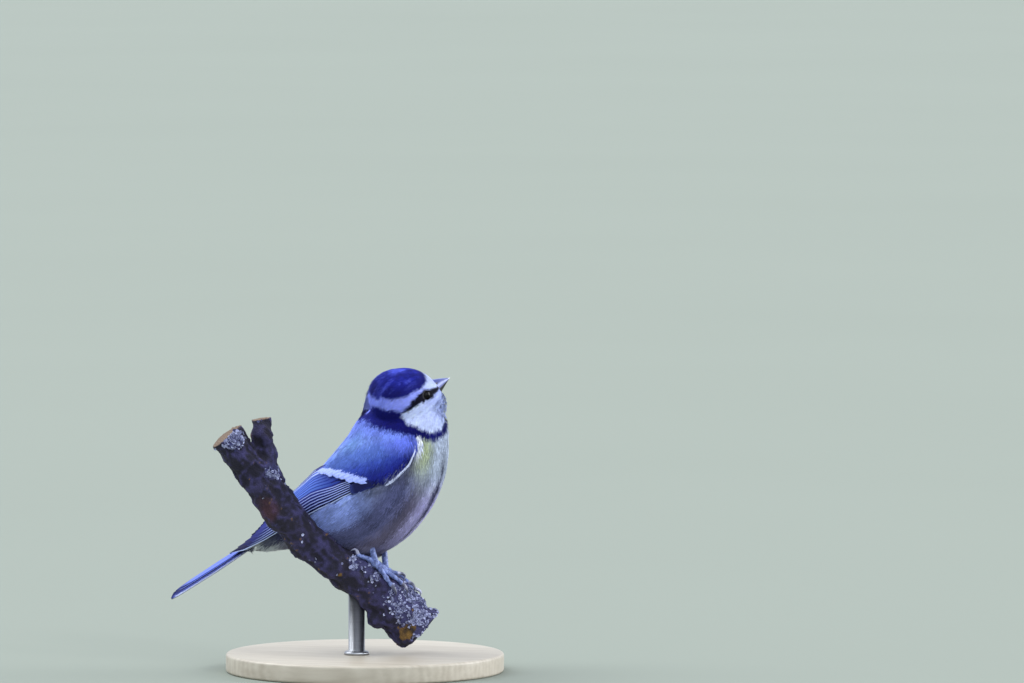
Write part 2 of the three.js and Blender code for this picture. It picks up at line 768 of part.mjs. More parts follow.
function footSolid(foot, extra) {
  const solids = [];
  TOES.forEach((toe) => {
    const points = [];
    const radii = [];
    const steps = 5;
    for (let i = 0; i <= steps; i += 1) {
      const t = i / steps;
      const run = toe.length * t;
      const arch = 0.45 * Math.sin(Math.PI * Math.min(1, t * 1.4));
      points.push(
        footPoint(foot, run * Math.cos(toe.turn), run * Math.sin(toe.turn), TOE_RADIUS + GAP + arch),
      );
      radii.push(TOE_RADIUS * (1 - 0.25 * t) + extra);
    }
    solids.push(tubeSolid(points, radii, 6));
    const clawPoints = [];
    const clawRadii = [];
    for (let i = 0; i <= 4; i += 1) {
      const t = i / 4;
      const run = toe.length - 0.4 + toe.claw * 0.8 * Math.sin(1.5 * t);
      const height = TOE_RADIUS + GAP + 0.9 * Math.sin(Math.PI * t) - 0.9 * t * t;
      clawPoints.push(
        footPoint(foot, run * Math.cos(toe.turn), run * Math.sin(toe.turn), height),
      );
      clawRadii.push(Math.max(0.16, CLAW_RADIUS * (1 - t)));
    }
    solids.push(tubeSolid(clawPoints, clawRadii, 5));
  });
  const ball = new THREE.SphereGeometry(BALL_RADIUS + extra, 8, 6);
  const centre = footPoint(foot, 0, 0, BALL_RADIUS + GAP);
  ball.translate(centre.x, centre.y, centre.z);
  solids.push(solidOfGeometry(ball));
  return joined(solids);
}

function tarsusSolid(foot) {
  const low = footPoint(foot, 0, 0, 1.6);
  const high = new THREE.Vector3(low.x - 3.5, foot.side * 7.5, 44);
  const points = [0, 0.33, 0.66, 1].map((t) => low.clone().lerp(high, t));
  return tubeSolid(points, points.map(() => TARSUS_RADIUS), 8);
}

// Stand: a flat turned base and one rod
function baseSolid() {
  const profile = [
    new THREE.Vector2(0, 0),
    new THREE.Vector2(BASE_RADIUS, 0),
    new THREE.Vector2(BASE_RADIUS, BASE_THICKNESS - BASE_BEVEL),
    new THREE.Vector2(BASE_RADIUS - BASE_BEVEL, BASE_THICKNESS),
    new THREE.Vector2(0, BASE_THICKNESS),
  ];
  return solidOfGeometry(new THREE.LatheGeometry(profile, 48).rotateX(Math.PI / 2));
}

function rodSolid() {
  const foot = PERCH_FOOT.clone().addScaledVector(perchAlong, ROD_RUN);
  const bottom = BASE_THICKNESS + GAP;
  const height = 22;
  const rod = new THREE.CylinderGeometry(ROD_RADIUS, ROD_RADIUS, height, 20);
  rod.rotateX(Math.PI / 2).translate(foot.x, foot.y, bottom + height / 2);
  return solidOfGeometry(rod);
}

// Parting the torso: everything on one side of a plane, kept back by half of the gap
function beyond(solid, point, direction) {
  const size = 300;
  const block = new THREE.BoxGeometry(size, size, size);
  block.translate(0, 0, size / 2 + GAP / 2);
  block.applyQuaternion(
    new THREE.Quaternion().setFromUnitVectors(new THREE.Vector3(0, 0, 1), direction),
  );
  block.translate(point.x, point.y, point.z);
  return solid.intersect(solidOfGeometry(block));
}

function slicePlane(place) {
  const back = torsoPoint(place, 0, LEFT);
  const belly = torsoPoint(place, Math.PI, LEFT);
  const across = torsoPoint(place, Math.PI / 2, LEFT).sub(torsoPoint(place, Math.PI / 2, RIGHT));
  const direction = back.clone().sub(belly).cross(across).normalize();
  const forward = torsoPoint(place + 0.5, 0.5, LEFT).sub(torsoPoint(place, 0.5, LEFT));
  if (direction.dot(forward) < 0) direction.negate();
  return { point: back.add(belly).multiplyScalar(0.5), direction };
}

// A plane through a point at the nape and one at the throat, facing up the neck
function collarPlane([nape, throat]) {
  const forward = throat.clone().sub(nape);
  const direction = forward.clone().cross(new THREE.Vector3(0, LEFT, 0)).normalize();
  return { point: nape.clone().lerp(throat, 0.5), direction };
}

const eyes = { left: eyeSolids(LEFT), right: eyeSolids(RIGHT) };
const headRoom = headSolid(GAP);
const torsoRoom = torsoSolid(GAP);
const perchRoom = wholePerch(GAP);
const flesh = torsoSolid(0).add(headSolid(0)).subtract(perchRoom);

const above = (solid, plane) => beyond(solid, plane.point, plane.direction);
const below = (solid, plane) => beyond(solid, plane.point, plane.direction.clone().negate());
const headPlane = collarPlane(COLLAR_TOP);
const neckPlane = collarPlane(COLLAR_FOOT);
const waistPlane = slicePlane(WAIST_SLICE);
const tailPlane = slicePlane(TAIL_SLICE);
const mantlePlane = { point: waistPlane.point, direction: MANTLE_LEAN };
const rumpPlane = { point: waistPlane.point, direction: RUMP_LEAN };

const head = above(flesh, headPlane)
  .add(eyes.left.lid)
  .add(eyes.right.lid)
  .subtract(eyes.left.socket)
  .subtract(eyes.right.socket);
const neck = above(below(flesh, headPlane), neckPlane);
const upperTorso = above(below(flesh, neckPlane), waistPlane);
const lowerTorso = above(below(flesh, waistPlane), tailPlane);
const tailCoverts = below(flesh, tailPlane);
const wingRoom = joined([torsoRoom, headRoom, perchRoom, ...tailVanes(GAP)]);

const model = new THREE.Group();

function addNode(name, solid, colour, roughness, metalness = 0) {
  const material = new THREE.MeshStandardMaterial({ color: colour, roughness, metalness });
  const mesh = new THREE.Mesh(geometryOf(largest(solid).simplify(LEAST_DETAIL)), material);
  mesh.name = name;
  model.add(mesh);
}

addNode("head", head, 0x3c4fa8, 0.9);
const upperBill = billSolid(true).subtract(headRoom).subtract(joined(nostrilSolids()));
addNode("bill_upper", upperBill, 0x565a70, 0.45);
addNode("bill_lower", billSolid(false).subtract(headRoom), 0x4a4e62, 0.45);
addNode("eye_left", eyes.left.ball, 0x0b0a12, 0.08);
addNode("eye_right", eyes.right.ball, 0x0b0a12, 0.08);
addNode("neck", neck, 0x2a3578, 0.9);
addNode("mantle", above(upperTorso, mantlePlane), 0x6f84a8, 0.9);
addNode("breast", below(upperTorso, mantlePlane), 0xb9bfa0, 0.9);
addNode("rump", above(lowerTorso, rumpPlane), 0x7d93ad, 0.9);
addNode("belly", below(lowerTorso, rumpPlane), 0xa6a9a8, 0.9);
const tail = below(joined([tailCoverts, ...tailVanes(0)]), tailPlane).subtract(perchRoom);
addNode("tail", tail, 0x5c78c4, 0.8);
addNode("wing_right", wingSolid(RIGHT).subtract(wingRoom), 0x4c62b4, 0.8);
addNode("wing_left", wingSolid(LEFT).subtract(wingRoom), 0x4c62b4, 0.8);
FEET.forEach((foot) => {
  const word = foot.side === RIGHT ? "right" : "left";
  const toes = footSolid(foot, 0).subtract(perchRoom).subtract(torsoRoom);
  const tarsus = tarsusSolid(foot)
    .subtract(footSolid(foot, GAP))
    .subtract(torsoRoom)
    .subtract(perchRoom);
  addNode(`foot_${word}`, toes, 0x6f84b8, 0.6);
  addNode(`tarsus_${word}`, tarsus, 0x6f84b8, 0.6);
});
addNode("perch_branch", wholePerch(0), 0x2c2630, 0.95);
addNode("stand_base", baseSolid(), 0x8a8378, 0.6);
addNode("stand_rod", rodSolid().subtract(perchRoom), 0x9a9a9a, 0.35, 0.9);

export default model;
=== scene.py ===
import math

import bmesh
import bpy
import numpy as np
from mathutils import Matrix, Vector
from mathutils.kdtree import KDTree


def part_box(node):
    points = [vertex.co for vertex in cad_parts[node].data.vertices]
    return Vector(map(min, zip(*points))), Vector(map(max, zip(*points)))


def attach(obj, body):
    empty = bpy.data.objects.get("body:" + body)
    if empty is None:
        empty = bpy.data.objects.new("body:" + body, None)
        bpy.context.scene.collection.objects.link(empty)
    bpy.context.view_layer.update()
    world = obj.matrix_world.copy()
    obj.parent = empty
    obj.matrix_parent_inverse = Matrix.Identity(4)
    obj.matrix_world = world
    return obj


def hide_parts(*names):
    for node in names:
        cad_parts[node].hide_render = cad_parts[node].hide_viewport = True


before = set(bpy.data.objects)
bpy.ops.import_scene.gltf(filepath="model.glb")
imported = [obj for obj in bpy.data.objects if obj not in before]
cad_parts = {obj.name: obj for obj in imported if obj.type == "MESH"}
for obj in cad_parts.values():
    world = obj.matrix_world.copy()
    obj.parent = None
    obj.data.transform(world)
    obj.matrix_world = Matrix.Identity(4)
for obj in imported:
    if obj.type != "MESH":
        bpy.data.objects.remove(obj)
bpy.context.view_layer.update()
scene = bpy.context.scene

# The stand's base: a flat disc of pale beech, turned on a lathe and rubbed with wax.
# Its edge is eased with a fine round, and the bird's branch stands on it by one steel rod.
# Lengths are worked in millimetres, and turned into metres where a mesh is made.
MM = 0.001
base_high = np.array(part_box("stand_base")[1]) / MM


def shade(red, green, blue):
    """A colour from its 0 to 255 screen values, as the linear colour that a surface has."""
    screen = np.array([red, green, blue], float) / 255
    return np.where(screen <= 0.04045, screen / 12.92, ((screen + 0.055) / 1.055) ** 2.4)


def make_mesh(name, points, faces, colours=None, maps=None, smooth=True):
    """A piece from its points in millimetres and its triangles or squares."""
    mesh = bpy.data.meshes.new(name)
    faces = np.asarray(faces, np.int32)
    sides = faces.shape[1]
    mesh.vertices.add(len(points))
    mesh.vertices.foreach_set("co", (np.asarray(points) * MM).astype(np.float32).ravel())
    mesh.loops.add(faces.size)
    mesh.loops.foreach_set("vertex_index", faces.ravel())
    mesh.polygons.add(len(faces))
    mesh.polygons.foreach_set("loop_start", np.arange(0, faces.size, sides, dtype=np.int32))
    mesh.update(calc_edges=True)
    mesh.polygons.foreach_set("use_smooth", np.full(len(faces), smooth))
    if colours is not None:
        layer = mesh.color_attributes.new("Tint", "FLOAT_COLOR", "POINT")
        rgba = np.concatenate([colours, np.ones((len(colours), 1))], 1)
        layer.data.foreach_set("color", rgba.astype(np.float32).ravel())
    for map_name, corner_places in (maps or {}).items():
        layer = mesh.uv_layers.new(name=map_name)
        layer.data.foreach_set("uv", np.asarray(corner_places, np.float32).ravel())
    mesh.update()
    piece = bpy.data.objects.new(name, mesh)
    scene.collection.objects.link(piece)
    return piece


def finish_piece(piece, material, slot, *nodes):
    """Gives a piece its finish, sets it on the one fixed body and hides the imported parts it replaces. The slot is
    not used.
    """
    piece.data.materials.clear()
    piece.data.materials.append(material)
    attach(piece, "root")
    if nodes:
        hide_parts(*nodes)
    return piece


def lathe(profile, sides):
    """Points and squares of a profile (radius, height) turned about the upright axis."""
    turn = np.arange(sides) * 2 * math.pi / sides
    rings = [np.stack([r * np.cos(turn), r * np.sin(turn), np.full(sides, z)], 1) for r, z in profile]
    here = np.arange(sides)
    after = (here + 1) % sides
    faces = [
        np.stack([i * sides + here, i * sides + after, (i + 1) * sides + after, (i + 1) * sides + here], 1)
        for i in range(len(profile) - 1)
    ]
    return np.concatenate(rings), np.concatenate(faces)


class Finish:
    """A material under construction: its node tree, its principled shader and short ways to add to it."""

    def __init__(self, name, roughness, **sockets):
        self.material = bpy.data.materials.new(name)
        self.material.use_nodes = True
        self.tree = self.material.node_tree
        self.shader = self.tree.nodes["Principled BSDF"]
        self.shader.inputs["Roughness"].default_value = roughness
        for socket, value in sockets.items():
            self.shader.inputs[socket.replace("_", " ")].default_value = value

    def add(self, kind, settings=None, **inputs):
        return add_node(self.tree, kind, settings, **inputs)

    def link(self, output, socket):
        self.tree.links.new(output, self.shader.inputs[socket])

    def spot(self):
        """The place on the piece, in its own coordinates."""
        return self.add("TexCoord").outputs["Object"]

    def blend(self, share, first, second, way="MIX"):
        """A colour between two others, or another mixture of them."""
        mixed = self.add("Mix", {"data_type": "RGBA", "blend_type": way}, i0=share, i6=first, i7=second)
        return mixed.outputs[2]

    def tint(self):
        """The colours painted on the piece's own points."""
        return self.add("VertexColor", {"layer_name": "Tint"}).outputs["Color"]

    def show_tint(self, tone):
        """Makes the painted colours the base colour, lighter and darker by a tone."""
        self.link(self.blend(1.0, self.tint(), tone, "MULTIPLY"), "Base Color")

    def bump(self, strength, distance, height):
        raised = self.add("Bump", None, Strength=strength, Distance=distance, Height=height)
        self.link(raised.outputs[0], "Normal")


def add_node(tree, kind, settings=None, **inputs):
    """A shader node, with its settings and with each input set to a value or joined to an output."""
    node = tree.nodes.new("ShaderNode" + kind)
    for key, value in (settings or {}).items():
        setattr(node, key, value)
    for key, value in inputs.items():
        socket = node.inputs[int(key[1:]) if key[0] == "i" and key[1:].isdigit() else key.replace("_", " ")]
        if isinstance(value, bpy.types.NodeSocket):
            tree.links.new(value, socket)
        else:
            socket.default_value = value
    return node


def start_group(name, inputs, outputs):
    """An empty node group with its named sockets, and its two end nodes."""
    tree = bpy.data.node_groups.new(name, "ShaderNodeTree")
    for socket, kind, value in inputs:
        made = tree.interface.new_socket(socket, in_out="INPUT", socket_type="NodeSocket" + kind)
        made.default_value = value
    for socket, kind in outputs:
        tree.interface.new_socket(socket, in_out="OUTPUT", socket_type="NodeSocket" + kind)
    return tree, tree.nodes.new("NodeGroupInput"), tree.nodes.new("NodeGroupOutput")


def rgba(*screen):
    return (*shade(*screen), 1.0)


def wood_grain_group():
    """Fine grain that runs along X: its colour between two tones, and its height for a bump."""
    tree, start, end = start_group(
        "wood grain",
        [("Light", "Color", rgba(200, 190, 172)), ("Dark", "Color", rgba(160, 146, 124)), ("Scale", "Float", 1.0)],
        [("Color", "Color"), ("Height", "Float")],
    )
    place = add_node(tree, "TexCoord")
    sized = add_node(tree, "VectorMath", {"operation": "SCALE"}, i0=place.outputs["Object"], i3=start.outputs["Scale"])
    squeezed = add_node(tree, "Mapping", None, Vector=sized.outputs[0], Scale=(18, 220, 220))
    streaks = add_node(tree, "TexNoise", None, Vector=squeezed.outputs[0], Scale=1.6, Detail=6.0, Roughness=0.62)
    broad = add_node(tree, "Mapping", None, Vector=sized.outputs[0], Scale=(5, 150, 150))
    rings = add_node(
        tree, "TexWave", {"wave_type": "BANDS", "bands_direction": "Y"}, Vector=broad.outputs[0], Scale=1.1,
        Distortion=5.0, Detail=2.5,
    )
    both = add_node(
        tree, "Math", {"operation": "MULTIPLY_ADD"}, i0=rings.outputs["Fac"], i1=0.16, i2=streaks.outputs["Fac"]
    )
    tone = add_node(tree, "MapRange", None, Value=both.outputs[0], From_Min=0.28, From_Max=0.88)
    mixed = add_node(
        tree, "Mix", {"data_type": "RGBA"}, i0=tone.outputs[0], i6=start.outputs["Dark"], i7=start.outputs["Light"]
    )
    tree.links.new(mixed.outputs[2], end.inputs["Color"])
    tree.links.new(both.outputs[0], end.inputs["Height"])
    return tree


wood_grain = wood_grain_group()
beech = Finish("waxed beech", 0.42)
beech_grain = beech.add(
    "Group", {"node_tree": wood_grain}, Light=rgba(194, 186, 170), Dark=rgba(166, 156, 139), Scale=1.0
)
beech.link(beech_grain.outputs["Color"], "Base Color")
beech.bump(0.06, 0.0001, beech_grain.outputs["Height"])

disc_radius = base_high[0]
disc_top = base_high[2]
edge_round = 0.8
rounding = [(1 - math.cos(lean), 1 + math.sin(lean)) for lean in np.linspace(-math.pi / 2, 0, 7)]
disc_profile = [(0.0, 0.0), (disc_radius - edge_round, 0.0)]
disc_profile += [(disc_radius - edge_round * inward, edge_round * up) for inward, up in rounding]
disc_profile += [
    (disc_radius - edge_round * inward, disc_top - edge_round * down) for inward, down in reversed(rounding)
]
disc_profile.append((0.0, disc_top))
disc_points, disc_faces = lathe(disc_profile, 144)
base_disc = make_mesh("base_disc", disc_points, disc_faces)


def tidy_surface(piece, merge=1e-6):
    """Merges doubles, drops faces that have no area and turns every face outwards."""
    build = bmesh.new()
    build.from_mesh(piece.data)
    bmesh.ops.remove_doubles(build, verts=build.verts, dist=merge)
    bmesh.ops.dissolve_degenerate(build, edges=build.edges, dist=merge)
    bmesh.ops.recalc_face_normals(build, faces=build.faces)
    build.to_mesh(piece.data)
    build.free()


tidy_surface(base_disc)
finish_piece(base_disc, beech.material, "stand_wood", "stand_base")

# The rod: one short length of satin steel, from the base up into the branch's underside.
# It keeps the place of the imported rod, with a fine foot ring where it enters the wood.
rod_low, rod_high = (np.array(corner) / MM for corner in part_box("stand_rod"))
rod_middle = (rod_low + rod_high) / 2
rod_radius = (rod_high[0] - rod_low[0]) / 2
ring_reach, ring_low, rod_end = rod_radius + 1.3, rod_low[2] - 0.25, rod_high[2] + 1.0
rod_profile = [
    (0.0, ring_low), (ring_reach, ring_low), (ring_reach, ring_low + 0.6), (ring_reach - 0.4, ring_low + 1.0),
    (rod_radius, ring_low + 1.1), (rod_radius, rod_end), (0.0, rod_end),
]
rod_points, rod_faces = lathe(rod_profile, 48)
rod_points[:, :2] += rod_middle[:2]
rod = make_mesh("steel_rod", rod_points, rod_faces)
tidy_surface(rod)
steel = Finish("satin steel", 0.32, Metallic=1.0)
steel_lines = steel.add("Mapping", None, Vector=steel.spot(), Scale=(300, 300, 5000))
steel_noise = steel.add("TexNoise", None, Vector=steel_lines.outputs[0], Scale=1.0, Detail=3.0).outputs["Fac"]
steel_tone = steel.add("MapRange", None, Value=steel_noise, To_Min=0.26, To_Max=0.42)
steel.link(steel_tone.outputs[0], "Roughness")
steel.link(steel.blend(steel_noise, rgba(150, 152, 156), rgba(184, 186, 190)), "Base Color")
finish_piece(rod, steel.material, "stand_metal", "stand_rod")

# The perch: a short cut length of a dark, rough twig, forked near its upper end.
# Its bark is cracked along the grain, knotted, and crusted with grey and ochre lichen.
# Each row of a path is a place along the branch: run, height and radius.
perch_turn = math.radians(31)
perch_foot = np.array([4.7, -3.2, 0.0])
perch_along = np.array([math.cos(perch_turn), math.sin(perch_turn), 0.0])
perch_across = np.array([-math.sin(perch_turn), math.cos(perch_turn), 0.0])
perch_path = np.array([
    [-45.5, 70.6, 4.7], [-41.0, 65.3, 4.8], [-36.2, 59.4, 5.0], [-29.3, 49.4, 5.4],
    [-24.2, 43.3, 5.1], [-17.6, 37.1, 5.1], [-12.0, 33.0, 5.6], [-7.1, 29.6, 6.1],
    [-0.5, 24.8, 6.5], [4.9, 20.1, 6.7], [9.1, 15.6, 7.0], [12.6, 12.2, 7.0],
])
fork_path = np.array([[-31.4, 55.5, 3.3], [-32.9, 62.6, 3.1], [-33.8, 69.2, 2.8], [-34.8, 75.6, 2.7]])
# Knots: place along the branch, turn from its top towards the bird's right, share out, radius
perch_knots = [(8.8, 2.9, 1.0, 3.2), (0.55, 1.25, 0.62, 3.4), (4.4, -0.5, 0.6, 2.9), (2.6, 2.6, 0.6, 3.0)]


def eased(rows, place, column):
    """One column of a list of rows at a place among them, eased from row to row."""
    values = rows[:, column]
    padded = np.concatenate([[2 * values[0] - values[1]], values, [2 * values[-1] - values[-2]]])
    place = np.asarray(place, float)
    i = np.clip(np.floor(place).astype(int), 0, len(values) - 2)
    t = place - i
    a, b, c, d = padded[i], padded[i + 1], padded[i + 2], padded[i + 3]
    return b + 0.5 * t * (c - a + t * (2 * a - 5 * b + 4 * c - d + t * (3 * (b - c) + d - a)))


def unit(vectors):
    return vectors / np.maximum(np.linalg.norm(vectors, axis=-1, keepdims=True), 1e-12)


def away_from(points, centre, weights=(1, 1, 1)):
    """How far points are from a place, with some directions counted for less."""
    return np.linalg.norm((points - np.array(centre)) * np.array(weights), axis=-1)


def smooth_step(value, low, high):
    t = np.clip((value - low) / (high - low), 0, 1)
    return t * t * (3 - 2 * t)


def soft_noise(points, size, seed=0):
    """Smooth noise from -1 to 1 whose lumps are about one size across."""
    q = np.asarray(points, float) / size
    cell = np.floor(q).astype(np.int64)
    f = q - cell
    f = f * f * (3 - 2 * f)
    total = np.zeros(q.shape[:-1])
    for corner in range(8):
        step = np.array([corner & 1, corner >> 1 & 1, corner >> 2 & 1])
        at = cell + step
        h = (at[..., 0] * 374761393 + at[..., 1] * 668265263 + at[..., 2] * 1440662683 + seed * 97531) & 0xFFFFFFFF
        h = ((h ^ (h >> 13)) * 1274126177) & 0xFFFFFFFF
        h = ((h ^ (h >> 16)) * 2246822519) & 0xFFFFFFFF
        value = ((h ^ (h >> 15)) & 0xFFFFFF) / 0x7FFFFF - 1
        weight = np.prod(np.where(step == 1, f, 1 - f), axis=-1)
        total += value * weight
    return total


def perch_place(path, place):
    run, height = eased(path, place, 0), eased(path, place, 1)
    point = perch_foot + run[..., None] * perch_along
    point[..., 2] = height
    return point


def perch_point(path, place, angle, height=0.0):
    """A point over the bark: angle 0 is on top of the branch, and grows towards the bird's right."""
    place, angle = np.broadcast_arrays(np.asarray(place, float), np.asarray(angle, float))
    tangent = unit(perch_place(path, place + 0.05) - perch_place(path, place - 0.05))
    normal = unit(np.cross(tangent, perch_across))
    normal = np.where(normal[..., 2:] < 0, -normal, normal)
    wave = (
        0.32 * np.sin(3 * angle + 2.3 * place)
        + 0.26 * np.sin(2 * angle - 3.9 * place + 1.1)
        + 0.3 * np.sin(5.3 * place + angle)
    )
    radius = eased(path, place, 2) + height + wave
    return (
        perch_place(path, place)
        + (radius * np.cos(angle))[..., None] * normal
        - (radius * np.sin(angle))[..., None] * perch_across
    )


def tube_faces(rows, sides):
    """Squares between the rings of a tube."""
    i, j = np.meshgrid(np.arange(rows - 1), np.arange(sides), indexing="ij")
    k = (j + 1) % sides
    quads = np.stack([i * sides + j, i * sides + k, (i + 1) * sides + k, (i + 1) * sides + j], -1).reshape(-1, 4)
    return quads


def capped_tube(rings):
    """Points and triangles of a tube over rings (rows, sides, 3), closed at both ends."""
    rows, sides = rings.shape[:2]
    quads = tube_faces(rows, sides)
    triangles = np.concatenate([quads[:, [0, 1, 2]], quads[:, [0, 2, 3]]])
    points = np.concatenate([rings.reshape(-1, 3), rings[0].mean(0)[None], rings[-1].mean(0)[None]])
    j = np.arange(sides)
    k = (j + 1) % sides
    start = np.stack([k, j, np.full(sides, rows * sides)], 1)
    last = (rows - 1) * sides
    end = np.stack([last + j, last + k, np.full(sides, rows * sides + 1)], 1)
    return points, np.concatenate([triangles, start, end])


def joined_parts(parts):
    """Several (points, faces) as one."""
    points, faces, count = [], [], 0
    for part_points, part_faces in parts:
        points.append(part_points)
        faces.append(part_faces + count)
        count += len(part_points)
    return np.concatenate(points), np.concatenate(faces)


def remeshed(parts, voxel, smoothing):
    """One smooth closed skin round several closed forms: its points, normals and squares, in millimetres."""
    points, faces = joined_parts(parts)
    rough = make_mesh("rough", points, faces)
    remesh = rough.modifiers.new("skin", "REMESH")
    remesh.mode = "VOXEL"
    remesh.voxel_size = voxel * MM
    smooth = rough.modifiers.new("smooth", "SMOOTH")
    smooth.factor = 0.5
    smooth.iterations = smoothing
    made = bpy.data.meshes.new_from_object(rough.evaluated_get(bpy.context.evaluated_depsgraph_get()))
    co = np.empty(len(made.vertices) * 3, np.float32)
    made.vertices.foreach_get("co", co)
    normals = np.empty(len(made.vertices) * 3, np.float32)
    made.vertex_normals.foreach_get("vector", normals)
    corners = np.empty(len(made.loops), np.int32)
    made.loops.foreach_get("vertex_index", corners)
    quads = corners.reshape(-1, 4)
    bpy.data.objects.remove(rough)
    bpy.data.meshes.remove(made)
    return co.reshape(-1, 3).astype(float) / MM, normals.reshape(-1, 3).astype(float), quads


def ball(centre, radius, rows=12, sides=20):
    lean = np.linspace(0.15, math.pi - 0.15, rows)[:, None]
    turn = (np.arange(sides) * 2 * math.pi / sides)[None]
    rings = np.stack([np.sin(lean) * np.cos(turn), np.sin(lean) * np.sin(turn), -np.cos(lean) + 0 * turn], -1)
    return capped_tube(np.asarray(centre) + radius * rings)


def perch_part(path, rows, sides):
    place = np.linspace(0, len(path) - 1, rows)[:, None]
    angle = (np.arange(sides) * 2 * math.pi / sides)[None]
    rings = perch_point(path, place, angle)
    return capped_tube(rings[:, ::-1])


perch_parts = [perch_part(perch_path, 90, 40), perch_part(fork_path, 24, 28)]
for place, angle, out, radius in perch_knots:
    depth = (out - 1) * float(eased(perch_path, place, 2))
    perch_parts.append(ball(perch_point(perch_path, place, angle, depth), radius))
bark_points, bark_normals, bark_quads = remeshed(perch_parts, 0.42, 3)

# Bark relief, read along the branch: long ridges, lumps and small scales
grain_axis = unit(perch_along * 0.70 + np.array([0, 0, -0.71]))
grain_up = unit(np.cross(grain_axis, perch_across))
bark_place = np.stack([bark_points @ grain_axis * 0.42, bark_points @ perch_across, bark_points @ grain_up], -1)
bark_ridges = 1 - 2.2 * np.abs(soft_noise(bark_place + 0.8 * soft_noise(bark_points, 3.0, 5)[:, None], 1.9, 1))
bark_lumps = soft_noise(bark_points, 5.5, 2)
bark_scales = soft_noise(bark_points, 0.9, 3)
cut_ends = []
for path, place, before in (
    (perch_path, 0.0, 0.3),
    (perch_path, len(perch_path) - 1.0, len(perch_path) - 1.3),
    (fork_path, len(fork_path) - 1.0, len(fork_path) - 1.3),
):
    end = perch_place(path, np.array(place))
    cut_ends.append((end, unit(end - perch_place(path, np.array(before)))))
bark_cut = np.zeros(len(bark_points))
for end, way in cut_ends:
    near = away_from(bark_points, end) < 8.5
    bark_cut = np.maximum(bark_cut, near * smooth_step(bark_normals @ way, 0.72, 0.9))


def near_any(points, spots):
    """How near each point is to a list of spots (x, y, z, reach), from 0 to 1."""
    best = np.zeros(len(points))
    for x, y, z, reach in spots:
        best = np.maximum(best, 1 - smooth_step(away_from(points, (x, y, z)), reach * 0.45, reach))
    return best


grey_lichen_spots = [
    (16, -3, 20, 8), (17, -3, 16, 7), (12.5, -5, 22, 6), (5.2, -9.4, 30.6, 4.0), (1.5, -11, 33, 3.6),
    (-31, -30, 71, 5.0), (-21, -22.5, 60, 4.0), (9, 3, 24, 8), (18, 6, 14, 8), (-24, -16, 55, 6),
]
ochre_lichen_spots = [(15.2, -4.4, 13.2, 3.1), (12.9, -4.2, 11.3, 2.3), (-26, -18, 60, 2.0), (8, 10, 15, 4)]
bark_patchy = soft_noise(bark_points, 1.5, 7) * 0.6 + soft_noise(bark_points, 0.7, 8) * 0.5
bark_grey = smooth_step(bark_patchy + 1.35 * near_any(bark_points, grey_lichen_spots) - 0.12, 0.55, 0.8)
bark_grey = np.maximum(bark_grey, smooth_step(bark_patchy + 0.5 * bark_lumps, 0.78, 0.92))
bark_ochre = smooth_step(near_any(bark_points, ochre_lichen_spots) + 0.9 * bark_patchy + 0.3 * bark_scales, 0.6, 0.8)
bark_grey *= 1 - bark_ochre
bark_red = near_any(bark_points, [(-22.6, -24, 49, 5.0), (-27, -20, 57, 2.6)]) * smooth_step(bark_lumps, -0.8, 0.4)
bark_rise = 0.30 * bark_lumps + 0.34 * bark_ridges + 0.16 * bark_scales + 0.22 * bark_grey + 0.25 * bark_ochre
bark_rise *= 1 - 0.9 * bark_cut
bark_shaped = bark_points + bark_normals * bark_rise[:, None]


def mix(a, b, share):
    share = np.asarray(share)[..., None]
    return a * (1 - share) + b * share


bark_colour = mix(shade(26, 23, 44), shade(60, 56, 102), smooth_step(bark_ridges + 0.8 * bark_scales, 0.0, 1.5))
bark_colour = mix(bark_colour, shade(40, 32, 40), 0.3 * smooth_step(bark_lumps, -0.1, 0.7))
bark_colour = mix(bark_colour, shade(96, 54, 60), 0.42 * bark_red)
bark_colour = mix(bark_colour, shade(58, 58, 102), 0.8 * bark_grey)
ochre_crust = mix(shade(54, 40, 26), shade(134, 100, 30), smooth_step(bark_scales + bark_patchy, -0.6, 0.8))
bark_colour = mix(bark_colour, ochre_crust, 0.85 * bark_ochre)
cut_middle = np.stack([away_from(bark_points, end) for end, way in cut_ends]).min(0)
cut_rings = 0.5 + 0.5 * np.sin(cut_middle * 7.5 + soft_noise(bark_points, 2.5, 9))
cut_wood = mix(shade(138, 116, 96), shade(98, 78, 64), cut_rings)
bark_colour = mix(bark_colour, cut_wood, bark_cut * (1 - smooth_step(cut_middle, 5.6, 6.4)))
perch = make_mesh("forked_perch", bark_shaped, bark_quads, colours=bark_colour)

bark = Finish("dark bark", 0.86)
bark_spot = bark.spot()
bark_fine = bark.add("TexNoise", None, Vector=bark_spot, Scale=2600.0, Detail=5.0, Roughness=0.7).outputs["Fac"]
bark_tone = bark.add("MapRange", None, Value=bark_fine, From_Min=0.3, From_Max=0.72, To_Min=0.55, To_Max=1.35)
bark.show_tint(bark_tone.outputs[0])
bark_cracks = bark.add("TexVoronoi", {"feature": "DISTANCE_TO_EDGE"}, Vector=bark_spot, Scale=1500.0)
bark_height = bark.add(
    "Math", {"operation": "MULTIPLY_ADD"}, i0=bark_cracks.outputs["Distance"], i1=1.4, i2=bark_fine
)
bark.bump(0.75, 0.00035, bark_height.outputs[0])
finish_piece(perch, bark.material, "bark", "perch_branch")


